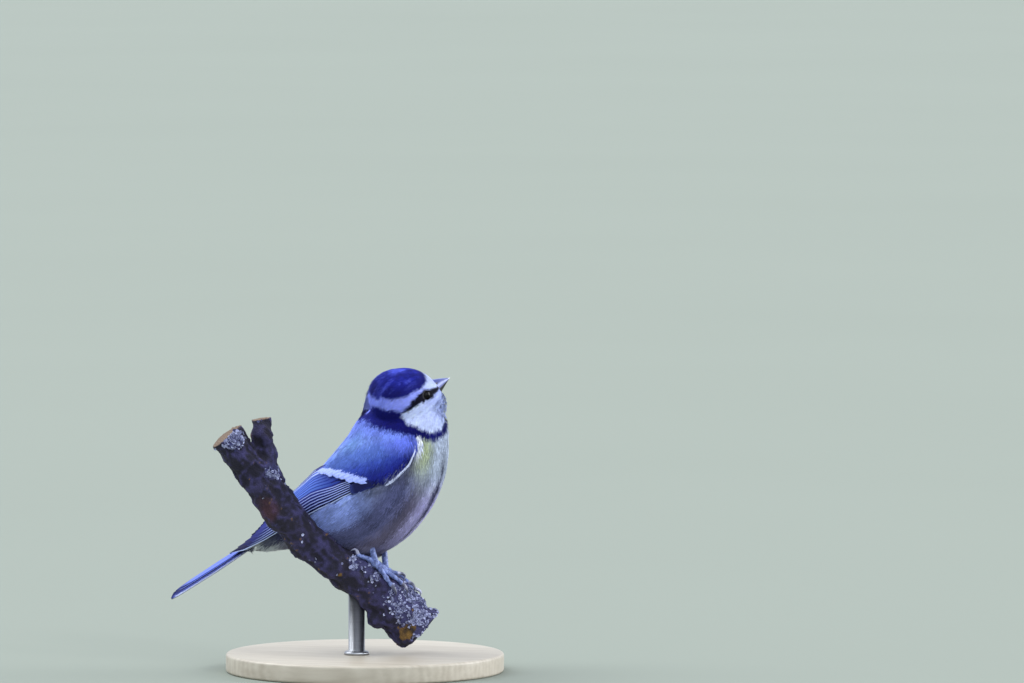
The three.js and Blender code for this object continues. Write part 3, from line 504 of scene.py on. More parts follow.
def lichen_flakes(count, seed):
    """Small cupped flakes of lichen, most of them in the grey patches: points, faces and colours."""
    pick = np.random.default_rng(seed)
    patchy = soft_noise(bark_points, 2.2, 12) * 0.5 + soft_noise(bark_points, 0.9, 13) * 0.5
    weight = (0.004 + near_any(bark_points, grey_lichen_spots) ** 1.5) * smooth_step(patchy, -0.25, 0.35)
    weight *= (1 - bark_ochre) * (1 - bark_cut) * (1 - 0.9 * bark_red)
    chosen = pick.choice(len(bark_points), count, p=weight / weight.sum())
    up = unit(bark_normals[chosen] + pick.normal(0, 0.35, (count, 3)))
    one = unit(np.cross(up, pick.normal(0, 1, (count, 3))))
    two = np.cross(up, one)
    size = pick.uniform(0.2, 0.56, count)
    turn = np.arange(7) * 2 * math.pi / 7
    reach = size[:, None] * pick.uniform(0.7, 1.25, (count, 7))
    rim = (
        (reach * np.cos(turn))[..., None] * one[:, None]
        + (reach * np.sin(turn))[..., None] * two[:, None]
        + (size[:, None] * pick.uniform(0.1, 0.55, (count, 7)))[..., None] * up[:, None]
    )
    middle = bark_shaped[chosen][:, None]
    heart = middle + (0.06 * up)[:, None]
    below = middle - (0.2 * up)[:, None]
    points = np.concatenate([heart, below, middle + rim], 1).reshape(-1, 3)
    k = np.arange(7)
    fan = np.concatenate([
        np.stack([k * 0, k + 2, (k + 1) % 7 + 2], 1), np.stack([k * 0 + 1, (k + 1) % 7 + 2, k + 2], 1),
    ])
    faces = (np.arange(count)[:, None, None] * 9 + fan[None]).reshape(-1, 3)
    pale = mix(shade(60, 62, 112), shade(206, 212, 250), pick.random(count) ** 1.5)
    colours = np.stack([pale * 0.7, pale * 0.3] + [pale] * 7, 1).reshape(-1, 3)
    return points, faces, colours


flake_points, flake_faces, flake_colours = lichen_flakes(3400, 17)
flakes = make_mesh("lichen_flakes", flake_points, flake_faces, flake_colours, smooth=False)
finish_piece(flakes, bark.material, "bark")

# The feet: blue-grey scaled toes that lie along the branch's top, three forwards and one back.
# Each toe bulges at its joints and pads, has broad scutes on top, and ends in a curved pale-dark claw.
# A foot is set by its place along the branch, its turn round it and how its middle toe is turned.
foot_settings = {
    "right": {"side": -1, "place": 7.35, "angle": 0.7, "turn": 0.05},
    "left": {"side": 1, "place": 8.0, "angle": -0.5, "turn": 0.16},
}
toe_settings = [(-0.34, 7.5, 4.5), (0.0, 9.8, 4.9), (0.36, 8.0, 4.5), (math.pi, 6.8, 4.2)]
toe_radius = 0.82
foot_lift = 0.18


def foot_point(foot, forward, sideways, height):
    radius = float(eased(perch_path, foot["place"], 2))
    ends = perch_place(perch_path, np.array([foot["place"] + 0.5, foot["place"] - 0.5]))
    spacing = np.linalg.norm(ends[0] - ends[1])
    along = forward * math.cos(foot["turn"]) - sideways * math.sin(foot["turn"])
    around = forward * math.sin(foot["turn"]) + sideways * math.cos(foot["turn"])
    return perch_point(perch_path, foot["place"] + along / spacing, foot["angle"] + around / (radius + 1), height)


def swept(path, radii, ups, sides=14, flat=1.0, relief=None):
    """A closed tube along a path. Relief is added to the radius, by row and by turn from the top."""
    ahead = unit(np.gradient(path, axis=0))
    across = unit(np.cross(ups, ahead))
    top = np.cross(ahead, across)
    turn = np.arange(sides) * 2 * math.pi / sides
    radius = np.asarray(radii)[:, None] * np.ones(sides)
    if relief is not None:
        radius = radius + relief(np.arange(len(path))[:, None], turn[None])
    rings = (
        path[:, None]
        + (radius * np.sin(turn))[..., None] * across[:, None]
        + (radius * flat * np.cos(turn))[..., None] * top[:, None]
    )
    return capped_tube(rings[:, ::-1])


def toe_parts(foot, turn, length, claw):
    rows = 44
    t = np.linspace(0, 1, rows)
    run = length * t
    arch = 0.4 * np.sin(math.pi * np.minimum(1, t * 1.4))
    height = toe_radius + foot_lift + arch
    path = foot_point(foot, run * math.cos(turn), run * math.sin(turn), height)
    below = foot_point(foot, run * math.cos(turn), run * math.sin(turn), 0.0)
    joints = np.cos(t * math.pi * 2 * 3.2) * 0.07
    radii = toe_radius * (1 - 0.28 * t) + joints
    radii[-3:] *= np.array([0.95, 0.82, 0.6])

    def scutes(row, angle):
        step = (row / rows * 13) % 1.0
        on_top = smooth_step(np.cos(angle), -0.1, 0.6)
        pads = smooth_step(-np.cos(angle), 0.2, 0.9) * 0.06 * np.cos(row / rows * math.pi * 7)
        return on_top * 0.11 * (step**2 - 0.4) + pads

    toe = swept(path, radii, unit(path - below), 14, 0.95, scutes)
    s = np.linspace(0, 1, 16)
    claw_run = length - 0.5 + claw * 0.8 * np.sin(1.5 * s)
    claw_height = toe_radius + foot_lift + 0.9 * np.sin(math.pi * s) - 0.95 * s * s
    claw_path = foot_point(foot, claw_run * math.cos(turn), claw_run * math.sin(turn), claw_height)
    claw_below = foot_point(foot, claw_run * math.cos(turn), claw_run * math.sin(turn), -1.0)
    claw_radii = np.maximum(0.05, 0.52 * (1 - s) ** 0.8)
    return toe, swept(claw_path, claw_radii, unit(claw_path - claw_below), 10, 1.25)


def scaled_skin_colour(points, seed):
    tone = soft_noise(points, 0.9, seed) * 0.5 + soft_noise(points, 0.4, seed + 1) * 0.5
    return mix(shade(70, 84, 138), shade(146, 164, 226), smooth_step(tone, -0.5, 0.6))


foot_skin = Finish("scaled foot skin", 0.48, Specular_IOR_Level=0.5)
foot_cells = foot_skin.add(
    "TexVoronoi", {"feature": "DISTANCE_TO_EDGE"}, Vector=foot_skin.spot(), Scale=2600.0
)
foot_lines = foot_skin.add(
    "MapRange", None, Value=foot_cells.outputs["Distance"], From_Max=0.14, To_Min=0.55, To_Max=1.0
)
foot_skin.show_tint(foot_lines.outputs[0])
foot_skin.bump(0.5, 0.0001, foot_lines.outputs[0])

claw_horn = Finish("claw horn", 0.3, Coat_Weight=0.3)
claw_noise = claw_horn.add("TexNoise", None, Vector=claw_horn.spot(), Scale=1800.0, Detail=3.0)
claw_tone = claw_horn.add("MapRange", None, Value=claw_noise.outputs["Fac"], To_Min=0.7, To_Max=1.2)
claw_horn.show_tint(claw_tone.outputs[0])

shank_rows = 40


def shank_scutes(row, angle):
    """Twelve broad scutes down the front of a shank."""
    return smooth_step(np.cos(angle), 0.0, 0.6) * 0.08 * (((row / shank_rows * 12) % 1.0) ** 2 - 0.4)


shank_paths = []
for word, foot in foot_settings.items():
    toes, claws = zip(*(toe_parts(foot, *toe) for toe in toe_settings))
    heel = foot_point(foot, 0.0, 0.0, 1.2 + foot_lift)
    toe_points, toe_faces = joined_parts([*toes, ball(heel, 1.25)])
    toe_piece = make_mesh(f"toes_{word}", toe_points, toe_faces, scaled_skin_colour(toe_points, 21))
    finish_piece(toe_piece, foot_skin.material, "foot_skin", f"foot_{word}")
    claw_points, claw_faces = joined_parts(claws)
    claw_pale = smooth_step(soft_noise(claw_points, 1.2, 31), -0.6, 0.5)
    claw_piece = make_mesh(
        f"claws_{word}", claw_points, claw_faces, mix(shade(70, 72, 96), shade(176, 178, 206), claw_pale)
    )
    finish_piece(claw_piece, claw_horn.material, "foot_skin")
    shank_low = foot_point(foot, 0.0, 0.0, 1.6)
    shank_high = np.array([shank_low[0] - 3.5, foot["side"] * 7.5, 44.0])
    shank_t = np.linspace(0, 1, shank_rows)[:, None]
    shank_path = shank_low * (1 - shank_t) + shank_high * shank_t
    shank_paths.append(shank_path)
    shank_up = np.tile([1.0, 0.0, 0.2], (shank_rows, 1))
    shank = swept(shank_path, np.full(shank_rows, 0.8), shank_up, 14, 1.15, shank_scutes)
    shank_piece = make_mesh(f"shank_{word}", *shank, scaled_skin_colour(shank[0], 24))
    finish_piece(shank_piece, foot_skin.material, "foot_skin", f"tarsus_{word}")

# The body's skin: one closed form from the bill's root to the roots of the tail, which carries the coat.
# It follows the same slices as the solids: the back's x and z, the belly's x and z, and half the width,
# and it lies inside them by the depth of the feathers. The head is turned and lifted in its own frame.
torso_rows = np.array([
    [-44.4, 32.0, -45.1, 29.2, 4.0], [-35.0, 38.6, -35.6, 34.0, 4.4], [-29.4, 43.7, -28.7, 34.9, 6.0],
    [-24.5, 48.2, -22.5, 35.9, 8.2], [-19.3, 52.6, -15.5, 36.1, 10.9], [-14.6, 56.8, -8.5, 35.2, 13.3],
    [-10.6, 61.1, -1.0, 34.1, 14.9], [-7.4, 65.3, 6.2, 35.8, 15.7], [-4.8, 69.2, 13.8, 41.2, 15.8],
    [-3.0, 72.4, 19.9, 49.0, 15.1], [-2.0, 75.3, 23.6, 57.4, 14.0], [-1.3, 78.0, 24.9, 65.0, 12.8],
    [-0.4, 80.7, 24.8, 72.0, 10.6], [1.6, 83.6, 23.2, 77.5, 6.6], [5.0, 84.5, 19.5, 81.0, 3.5],
])
head_rows = np.array([
    [-13.2, 4.6, -11.0, -4.5, 3.2], [-12.2, 7.8, -9.8, -7.2, 6.0], [-9.4, 10.0, -7.5, -9.0, 8.1],
    [-5.4, 10.7, -4.5, -10.0, 9.3], [-1.0, 10.3, -0.5, -10.2, 9.5], [3.0, 9.1, 3.5, -9.8, 8.6],
    [6.0, 7.1, 7.0, -8.4, 6.9], [8.1, 4.4, 9.0, -6.2, 4.9], [9.2, 1.9, 9.8, -3.9, 3.0],
])
torso_slices, head_slices = len(torso_rows) - 1, len(head_rows) - 1
torso_fullness, head_fullness = 2.2, 2.15
bend_start, bend_length = 7.0, 6.0
rear_turn, rear_roll = math.radians(6), math.radians(16)
head_middle = np.array([13.6, 0.3, 80.2])
head_turn, head_lift = math.radians(46), math.radians(29)


def turned(about_z, about_y, about_x):
    """The turn about X, then Y, then Z, as a matrix."""
    cz, sz, cy, sy, cx, sx = (f(a) for a in (about_z, about_y, about_x) for f in (math.cos, math.sin))
    z = np.array([[cz, -sz, 0], [sz, cz, 0], [0, 0, 1]])
    y = np.array([[cy, 0, sy], [0, 1, 0], [-sy, 0, cy]])
    x = np.array([[1, 0, 0], [0, cx, -sx], [0, sx, cx]])
    return z @ y @ x


head_axes = turned(head_turn, -head_lift, 0.0)


def slice_point(rows, fullness, place, angle, side):
    """A point of a sliced form, and its slice's middle: angle 0 is on top, a half turn is underneath."""
    place, angle, side = np.broadcast_arrays(*(np.asarray(v, float) for v in (place, angle, side)))
    nothing = np.zeros(place.shape)
    back = np.stack([eased(rows, place, 0), nothing, eased(rows, place, 1)], -1)
    belly = np.stack([eased(rows, place, 2), nothing, eased(rows, place, 3)], -1)
    middle = (back + belly) / 2
    up, out = np.cos(angle), np.sin(angle)
    up = np.sign(up) * np.abs(up) ** (2 / fullness)
    out = np.sign(out) * np.abs(out) ** (2 / fullness)
    point = middle + (back - belly) / 2 * up[..., None]
    point[..., 1] = side * eased(rows, place, 4) * out
    return point, middle


def bare_torso(place, angle, side):
    point, middle = slice_point(torso_rows, torso_fullness, place, angle, side)
    share = smooth_step(bend_start - np.broadcast_to(place, point.shape[:-1]), 0, bend_length)
    run = np.minimum(0, middle[..., 0] - eased(torso_rows, bend_start, 0))
    cos_roll, sin_roll = np.cos(rear_roll * share), np.sin(rear_roll * share)
    y, z = point[..., 1], point[..., 2] - middle[..., 2]
    rolled_y, rolled_z = y * cos_roll - z * sin_roll, y * sin_roll + z * cos_roll
    sway = rear_turn * share
    return np.stack(
        [
            point[..., 0] - rolled_y * np.sin(sway),
            rolled_y * np.cos(sway) + run * np.sin(sway) * 0.6,
            middle[..., 2] + rolled_z,
        ],
        -1,
    )


def bare_head(place, angle, side):
    return slice_point(head_rows, head_fullness, place, angle, side)[0] @ head_axes.T + head_middle


def surface_frame(form, place, angle, side):
    """The outward normal of a form, and the way along it that its slices run."""
    safe = np.clip(angle, 0.03, math.pi - 0.03)
    along = form(place + 0.02, safe, side) - form(place - 0.02, safe, side)
    around = form(place, safe + 0.02, side) - form(place, safe - 0.02, side)
    return unit(np.cross(along, around) * np.asarray(side)[..., None]), unit(along)


def torso_point(place, angle, side, height=0.0):
    place, angle, side, height = np.broadcast_arrays(*(np.asarray(v, float) for v in (place, angle, side, height)))
    normal = surface_frame(bare_torso, place, angle, side)[0]
    return bare_torso(place, angle, side) + normal * height[..., None]


def form_part(form, first, last, rows, sides):
    place = np.linspace(first, last, rows)[:, None]
    turn = (np.arange(sides) * 2 * math.pi / sides)[None]
    angle = np.where(turn <= math.pi, turn, 2 * math.pi - turn)
    side = np.where(turn <= math.pi, 1.0, -1.0)
    return capped_tube(form(place, angle, side))


skin_points, skin_normals, skin_quads = remeshed(
    [form_part(bare_torso, 0.9, torso_slices, 130, 90), form_part(bare_head, 0, head_slices, 60, 60)], 0.45, 10
)


class Chart:
    """Finds the slice and the angle of any point near a sliced form."""

    def __init__(self, form, slices):
        place, angle, side = np.meshgrid(
            np.arange(0, slices + 0.01, 0.1), np.radians(np.arange(0, 181, 4.0)), [-1.0, 1.0], indexing="ij"
        )
        self.place, self.angle, self.side = place.ravel(), angle.ravel(), side.ravel()
        points = form(self.place, self.angle, self.side)
        self.tree = KDTree(len(points))
        for number, point in enumerate(points):
            self.tree.insert(point, number)
        self.tree.balance()

    def find(self, points):
        found = [self.tree.find(point)[1:] for point in points]
        number = np.array([f[0] for f in found])
        return self.place[number], self.angle[number], self.side[number], np.array([f[1] for f in found])


torso_chart = Chart(bare_torso, torso_slices)
head_chart = Chart(bare_head, head_slices)

# Where the folded arm lies under its small coverts the skin stands higher.
# Each row is a slice with the angles of the folded wing's upper and lower edges.
wing_edge = np.array([
    [11.2, 108, 121], [10.8, 95, 122], [10.1, 76, 117], [9.0, 57, 103], [8.2, 46, 93],
    [7.2, 33, 86], [5.4, 13, 83], [3.0, 9, 88], [1.6, 13, 90], [0.2, 34, 88],
])
arm_height = 1.25


def wing_edges(place):
    order = wing_edge[::-1]
    top = np.interp(place, order[:, 0], order[:, 1])
    low = np.interp(place, order[:, 0], order[:, 2])
    return top, low


def arm_rise(place, angle):
    """How far the folded arm lifts the coat, with a steep lower edge and a gentle upper one."""
    top, low = wing_edges(place)
    degrees = np.degrees(angle)
    lower = 1 - smooth_step(degrees, low - 3, low + 2)
    upper = smooth_step(degrees, top - 40, top + 12)
    ends = smooth_step(place, 4.9, 6.4) * (1 - smooth_step(place, 11.0, 11.9))
    return arm_height * lower * upper * ends


def head_angles(points):
    """The turn from the bill and the height above the eye's level, in degrees, of points seen from the head."""
    local = (points - head_middle) @ head_axes
    return (
        np.degrees(np.arctan2(np.abs(local[:, 1]), local[:, 0])),
        np.degrees(np.arctan2(local[:, 2], np.hypot(local[:, 0], local[:, 1]))),
        local,
    )


def edge_at(turn, rows):
    rows = np.array(rows, float)
    return np.interp(turn, rows[:, 0], rows[:, 1])


cap_edge = [(0, 41), (30, 33), (51, 27), (66, 24.4), (82, 24.7), (100, 26.7), (117, 24.5), (129, 26.5),
            (144, 31), (160, 36), (170, 39), (180, 42)]
dark_edge = [(0, 3), (30, 3), (46, 7), (59, 12), (73, 19.5), (89, 19), (103, 15.5), (112, 11.5), (128, 6.5),
             (133, 9), (143, 14.7), (158, 22.5), (180, 24)]
stripe_foot = [(0, -2), (49, -1), (66, -2.5), (81, -1.5), (98, 2.5), (113, 3), (127, 2.5), (133, 0)]
cheek_foot = [(0, -50), (60, -49), (82, -45.7), (101, -37.7), (112, -27.2), (122, -17.5), (130, -10), (133, 0)]
collar_foot = [(0, -66), (60, -58), (82, -52), (92, -49.3), (112, -36.4), (122, -28), (137, -16.4), (152, -6.6),
               (160, -1.5), (166, 2), (174, 4.6), (180, 6.8)]


def over(turn, height, rows):
    """From 0 below one of the head's marking edges to 1 above it."""
    return smooth_step(height - edge_at(turn, rows), -1.5, 1.5)


def bar_top(share):
    """The slice where the white bar begins, at a share across the folded wing; the arm's coat ends there."""
    return np.interp(share, [-0.1, 0.0, 0.22, 0.35, 0.49, 0.57, 0.69, 0.80, 0.89, 1.0],
                     [5.2, 5.4, 5.88, 6.58, 7.35, 7.80, 8.12, 8.28, 8.33, 8.9])


def under_edge(place):
    """The angle below which the torso carries the breast's and belly's pale feathers."""
    return np.interp(place, [0, 3, 6, 8, 9.5, 10.5, 11.2, 12.0, 13.0], [70, 72, 74, 84, 100, 112, 114, 98, 90])


def plumage(points, place, angle, ragged=0.0):
    """The coat's colour at points, with their slice and angle on the torso, and how dark or light it varies."""
    jitter = soft_noise(points, 0.8, 41) * ragged
    turn, height, local = head_angles(points)
    height = height + 3.0 * jitter
    degrees = np.degrees(angle) + 2.5 * jitter
    place = place + 0.12 * jitter
    round_under = 180 + np.sign(points[:, 1]) * (180 - degrees)

    # Torso: slate mantle, paler hind neck, yellow-green to grey breast, grey belly, dark midline stroke
    colour = np.tile(shade(112, 140, 202), (len(points), 1))
    green = smooth_step(soft_noise(points, 7.0, 43), -0.5, 0.6) * (1 - smooth_step(place, 10.0, 12.0))
    colour = mix(colour, shade(96, 138, 184), 0.5 * green)
    # Painted light: the mantle is paler along the back's top, where light from above falls.
    colour = mix(colour, shade(126, 146, 222), 0.7 * (1 - smooth_step(degrees, 30, 55)))
    colour = mix(colour, shade(112, 130, 234), smooth_step(place, 10.9, 12.3))
    under = smooth_step(degrees, under_edge(place) - 3, under_edge(place) + 3)
    flank = mix(shade(136, 154, 222), shade(98, 104, 132), smooth_step(place, 7.0, 8.6))
    # Painted shade: a darker belt below the folded wing, over the belly's grey, lightening again further under.
    belly = mix(flank, shade(88, 92, 134), smooth_step(degrees, 98, 116))
    belly = mix(belly, shade(104, 100, 128), smooth_step(degrees, 126, 145))
    belly = mix(belly, shade(188, 184, 242), smooth_step(degrees, 146, 164) * smooth_step(place, 6.4, 8.8))
    belly = mix(belly, shade(104, 106, 124), smooth_step(4.6 - place, 0, 1.2))
    belly = mix(belly, shade(186, 194, 200), smooth_step(2.9 - place, 0, 1.0))
    breast = mix(shade(106, 110, 134), shade(176, 188, 212), smooth_step(degrees, 122, 156))
    yellow = np.exp(-(((place - 10.95) / 0.95) ** 2) - ((degrees - 136) / 13) ** 2)
    breast = mix(breast, shade(172, 184, 126), 0.8 * yellow)
    breast = mix(belly, breast, smooth_step(place, 8.9, 10.4))
    stroke_middle = np.interp(place, [7.4, 8.3, 8.9, 9.6, 10.2, 10.9], [175, 176, 177, 178, 178, 177])
    stroke_half = np.interp(
        place, [7.7, 8.4, 9.0, 9.6, 9.95, 10.15, 10.4, 10.8], [0.3, 3.4, 5.4, 6.0, 3.4, 2.2, 4.4, 0.3]
    )
    stroke = 1 - smooth_step(np.abs(round_under - stroke_middle) / stroke_half, 0.6, 1.4)
    stroke *= smooth_step(place, 7.6, 8.0) * (1 - smooth_step(place, 10.6, 10.9))
    breast = mix(breast, shade(12, 12, 60), 0.95 * stroke)
    colour = mix(colour, breast, under)
    top, low = wing_edges(place)
    notch = np.exp(-(((place - 11.1) / 0.5) ** 2) - ((degrees - 127) / 4.0) ** 2)
    colour = mix(colour, shade(232, 238, 252), np.minimum(1, 2.2 * notch) * smooth_step(degrees - low, -1, 1))
    # Painted shadow: a dark band on the rump's side just below the wing's lower edge.
    painted_shadow_under_wing = 1 - smooth_step(np.degrees(angle) - low, 4 + 4 * (place - 1), 13 + 4 * (place - 1))
    painted_shadow_under_wing *= smooth_step(degrees - low, -3, -1) * smooth_step(5.2 - place, 0, 1.2)
    colour = mix(colour, shade(20, 22, 60), 0.85 * painted_shadow_under_wing)

    # Folded arm: deep blue small coverts, greyer blue where they meet the mantle; their darkening towards the wing's
    # lower edge, darkest along it, is painted shade
    share = (degrees - top) / (low - top)
    arm = smooth_step(share, 0.0, 0.3) * (1 - smooth_step(share, 0.97, 1.03)) * (place < 11.6)
    arm *= place > bar_top(share) - 1.0
    deep = mix(shade(90, 118, 204), shade(56, 76, 176), smooth_step(share, 0.34, 0.64))
    deep = mix(deep, shade(60, 78, 190), smooth_step(place, 9.9, 10.8))
    # Painted shade: darker towards the wing's lower edge, and darkest along it.
    deep = mix(deep, shade(32, 42, 144), smooth_step(share, 0.6, 0.86))
    deep = mix(deep, shade(16, 20, 82), smooth_step(share, 0.88, 0.97))
    colour = mix(colour, deep, arm)

    # Head and neck, seen from the head's middle
    neck = np.tile(shade(8, 11, 96), (len(points), 1))
    neck = mix(neck, shade(20, 26, 116), smooth_step(turn, 140, 175) * smooth_step(height, -12, 12))
    far_side = smooth_step(turn, 125, 150) * (local[:, 1] > 0)
    foot = edge_at(turn + far_side * 0.65 * (180 - turn), collar_foot)
    on_neck = smooth_step(height - foot, -2.0, 2.0)
    hind = smooth_step(height - foot, -15, -1) * smooth_step(turn, 100, 140)
    colour = mix(colour, shade(118, 136, 240), 0.75 * hind * (1 - under * (turn < 125)))
    colour = mix(colour, neck, on_neck)
    cheek = over(turn, height, cheek_foot)
    cheek *= 1 - over(turn, height, stripe_foot)
    cheek *= 1 - smooth_step(turn + 2 * jitter, 131, 135)
    cheek *= smooth_step(np.abs(local[:, 1]) + 0.5 * jitter, 1.3, 2.6)
    cheek_tone = mix(shade(176, 190, 250), shade(200, 212, 255), smooth_step(turn, 50, 120))
    colour = mix(colour, cheek_tone, cheek)
    stripe = over(turn, height, stripe_foot)
    stripe *= 1 - over(turn, height, dark_edge)
    colour = mix(colour, shade(5, 5, 26), stripe * (turn < 126))
    beyond = far_side * smooth_step(local[:, 1], 0, 2.5)
    white = smooth_step(height - edge_at(turn, dark_edge) + 6 * beyond, -1.5, 1.5)
    white_tone = mix(shade(194, 206, 252), shade(146, 158, 252), smooth_step(turn, 45, 100))
    white_tone = mix(white_tone, shade(130, 144, 250), smooth_step(turn, 120, 160))
    colour = mix(colour, white_tone, white)
    above = height - edge_at(turn, cap_edge) - 5 * beyond
    front = 1 - smooth_step(turn, 25, 75)
    cap = smooth_step(above, -2.0 - 4 * front, 2.0 + 7 * front)
    # The cap's blue, with painted shade along its lower edge and a painted rim light that pales its top.
    cap_colour_and_light = mix(shade(15, 18, 100), shade(30, 38, 150), smooth_step(above, 6, 28))
    cap_colour_and_light = mix(cap_colour_and_light, shade(84, 98, 226), smooth_step(above, 34, 62))
    cap_colour_and_light = mix(cap_colour_and_light, shade(18, 22, 108), 0.45 * smooth_step(soft_noise(points, 1.3, 45), -0.1, 0.7))
    colour = mix(colour, cap_colour_and_light, cap)
    return colour


def seat(points):
    """Where points lie: on torso or head, their slice and angle, and a place on the unwrap of the skin."""
    t_place, t_angle, t_side, t_away = torso_chart.find(points)
    h_place, h_angle, h_side, h_away = head_chart.find(points)
    on_head = h_away < t_away
    side = np.where(on_head, h_side, t_side)
    angle = np.where(on_head, h_angle, t_angle)
    across = 0.5 + side * angle / math.pi * 0.48
    along = np.where(on_head, 0.64 + h_place / head_slices * 0.34, 0.02 + t_place / torso_slices * 0.58)
    return {
        "place": t_place, "angle": t_angle, "side": t_side, "on_head": on_head,
        "map": np.stack([along, across], -1),
    }


def coat_depth(points):
    """The feathers' depth: finest at the bill's root, deepest on breast and belly."""
    local = head_angles(points)[2]
    away = np.linalg.norm(local, axis=1)
    face = 1 - smooth_step(local[:, 0], -2.0, 8.5)
    body = smooth_step(away, 10.0, 17.0)
    tail = smooth_step(points[:, 0], -34, -16)
    return (0.22 + 0.28 * face + 0.45 * body * tail) * (0.45 + 0.55 * np.maximum(tail, 1 - body))


def head_hollow(points):
    """How far the skin lies in behind and under the crown's last feathers, down the hind neck and round the
    bill's root. It lies out a little under the crown."""
    local = (points - head_middle) @ head_axes
    nape = away_from(local, (-10.3, 4.0, 6.0), (1, 0.7, 0.9))
    crown = away_from(local, (-1.5, 0.0, 10.0), (0.9, 1, 1))
    hind_neck = away_from(points, (-2.4, 1.0, 74.5))
    bill = away_from(local, (9.6, 0.0, -1.4), (1, 0.8, 0.8))
    behind = away_from(local, (-6.0, 3.0, 9.0))
    hollow = 3.6 * np.exp(-((nape / 4.2) ** 2)) + 0.9 * np.exp(-((bill / 3.0) ** 2))
    hollow = hollow + 0.9 * np.exp(-((behind / 3.4) ** 2))
    hollow = hollow + 0.15 * np.exp(-((hind_neck / 6.0) ** 2)) - 0.6 * np.exp(-((crown / 6.5) ** 2))
    return np.maximum(hollow, -0.9 * coat_depth(points))


skin_seat = seat(skin_points)
skin_rise = np.where(skin_seat["on_head"], 0, arm_rise(skin_seat["place"], skin_seat["angle"]))
skin_under = smooth_step(np.degrees(skin_seat["angle"]), 75, 110) * ~skin_seat["on_head"]
skin_rise = skin_rise - 1.7 * skin_under * smooth_step(2.9 - skin_seat["place"], 0, 1.6)
under_skin = skin_points + skin_normals * (skin_rise - coat_depth(skin_points) - head_hollow(skin_points))[:, None]
skin_colour = plumage(skin_points, skin_seat["place"], skin_seat["angle"]) * 0.72
corner = skin_seat["map"][skin_quads]
wrapped = corner[:, :1, 1] - corner[:, :, 1]
corner[:, :, 1] += np.where(wrapped > 0.5, 0.96, 0) + np.where(wrapped < -0.5, -0.96, 0)
plumage_skin = make_mesh(
    "plumage_skin", under_skin, skin_quads, skin_colour, {"OFBake": np.clip(corner, 0, 1).reshape(-1, 2)}
)


def barbs_group():
    """Soft streaks and flecks that every feather material shares: a varied colour and a fine height."""
    tree, start, end = start_group(
        "feather barbs",
        [("Color", "Color", (0.5, 0.5, 0.5, 1)), ("Scale", "Float", 1800.0), ("Change", "Float", 0.25)],
        [("Color", "Color"), ("Height", "Float")],
    )
    place = add_node(tree, "TexCoord")
    spot, scale = place.outputs["Object"], start.outputs["Scale"]
    fine = add_node(tree, "TexNoise", None, Vector=spot, Scale=scale, Detail=3.0, Roughness=0.6).outputs["Fac"]
    broad = add_node(tree, "TexNoise", None, Vector=spot, Scale=260.0, Detail=2.0).outputs["Fac"]
    both = add_node(tree, "Math", {"operation": "MULTIPLY_ADD"}, i0=broad, i1=0.6, i2=fine)
    centred = add_node(tree, "Math", {"operation": "SUBTRACT"}, i0=both.outputs[0], i1=0.8)
    changed = add_node(
        tree, "Math", {"operation": "MULTIPLY_ADD"}, i0=centred.outputs[0], i1=start.outputs["Change"], i2=1.0
    )
    toned = add_node(tree, "VectorMath", {"operation": "SCALE"}, i0=start.outputs["Color"], i3=changed.outputs[0])
    tree.links.new(toned.outputs[0], end.inputs["Color"])
    tree.links.new(both.outputs[0], end.inputs["Height"])
    return tree


feather_barbs = barbs_group()


def plumage_finish(name, roughness, scale, change, bump, **sockets):
    finish = Finish(name, roughness, **sockets)
    barbs = finish.add("Group", {"node_tree": feather_barbs}, Color=finish.tint(), Scale=scale, Change=change)
    finish.link(barbs.outputs["Color"], "Base Color")
    finish.bump(bump, 0.0001, barbs.outputs["Height"])
    return finish


down = plumage_finish("down under the coat", 0.95, 2400.0, 0.6, 0.4, Specular_IOR_Level=0.1)
soft_coat = plumage_finish(
    "small soft feathers", 0.8, 2200.0, 0.4, 0.15, Sheen_Weight=0.05, Sheen_Roughness=0.4, Specular_IOR_Level=0.15
)
finish_piece(
    plumage_skin, down.material, "breast_feathers", "head", "neck", "mantle", "breast", "rump", "belly"
)

# The coat: small body feathers in soft tufts over the skin, rooted in it and lying away from the bill.
# A tuft is three closed, pointed blades, darker at the root; the shortest are on the face, the longest
# on belly and rump. Each region of the bird is a piece of its own.
chance = np.random.default_rng(5)
skin_triangles = np.concatenate([skin_quads[:, [0, 1, 2]], skin_quads[:, [0, 2, 3]]])
bill_root = head_middle + head_axes @ np.array([8.6, 0.0, -1.1])
eye_local = np.array([2.3, 6.9, 1.05])


def lie_of(points, normals, seats):
    """The way the feathers point: back from the bill on the head, then along the body to the tail."""
    from_bill = unit(points - bill_root - head_axes @ np.array([2.5, 0, 0.5]))
    along = surface_frame(bare_torso, seats["place"], seats["angle"], seats["side"])[1]
    away = np.linalg.norm(points - head_middle, axis=1)
    share = smooth_step(away, 9.5, 15.0)[:, None]
    way = unit(from_bill * (1 - share) - along * share)
    way = way + np.array([0, 0, -0.12]) * share
    return unit(way - normals * np.sum(way * normals, axis=1, keepdims=True))


def sow(density):
    """Roots spread evenly over the skin, as many to a square millimetre as the density says."""
    a, b, c = (under_skin[skin_triangles[:, k]] for k in range(3))
    area = np.linalg.norm(np.cross(b - a, c - a), axis=1) / 2
    expected = area * density((a + b + c) / 3)
    count = np.floor(expected + chance.random(len(expected))).astype(int)
    chosen = np.repeat(np.arange(len(count)), count)
    u, v = chance.random(len(chosen)), chance.random(len(chosen))
    over = u + v > 1
    u[over], v[over] = 1 - u[over], 1 - v[over]
    w = np.stack([1 - u - v, u, v], 1)[..., None]
    corners = skin_triangles[chosen]
    return (under_skin[corners] * w).sum(1), unit((skin_normals[corners] * w).sum(1))


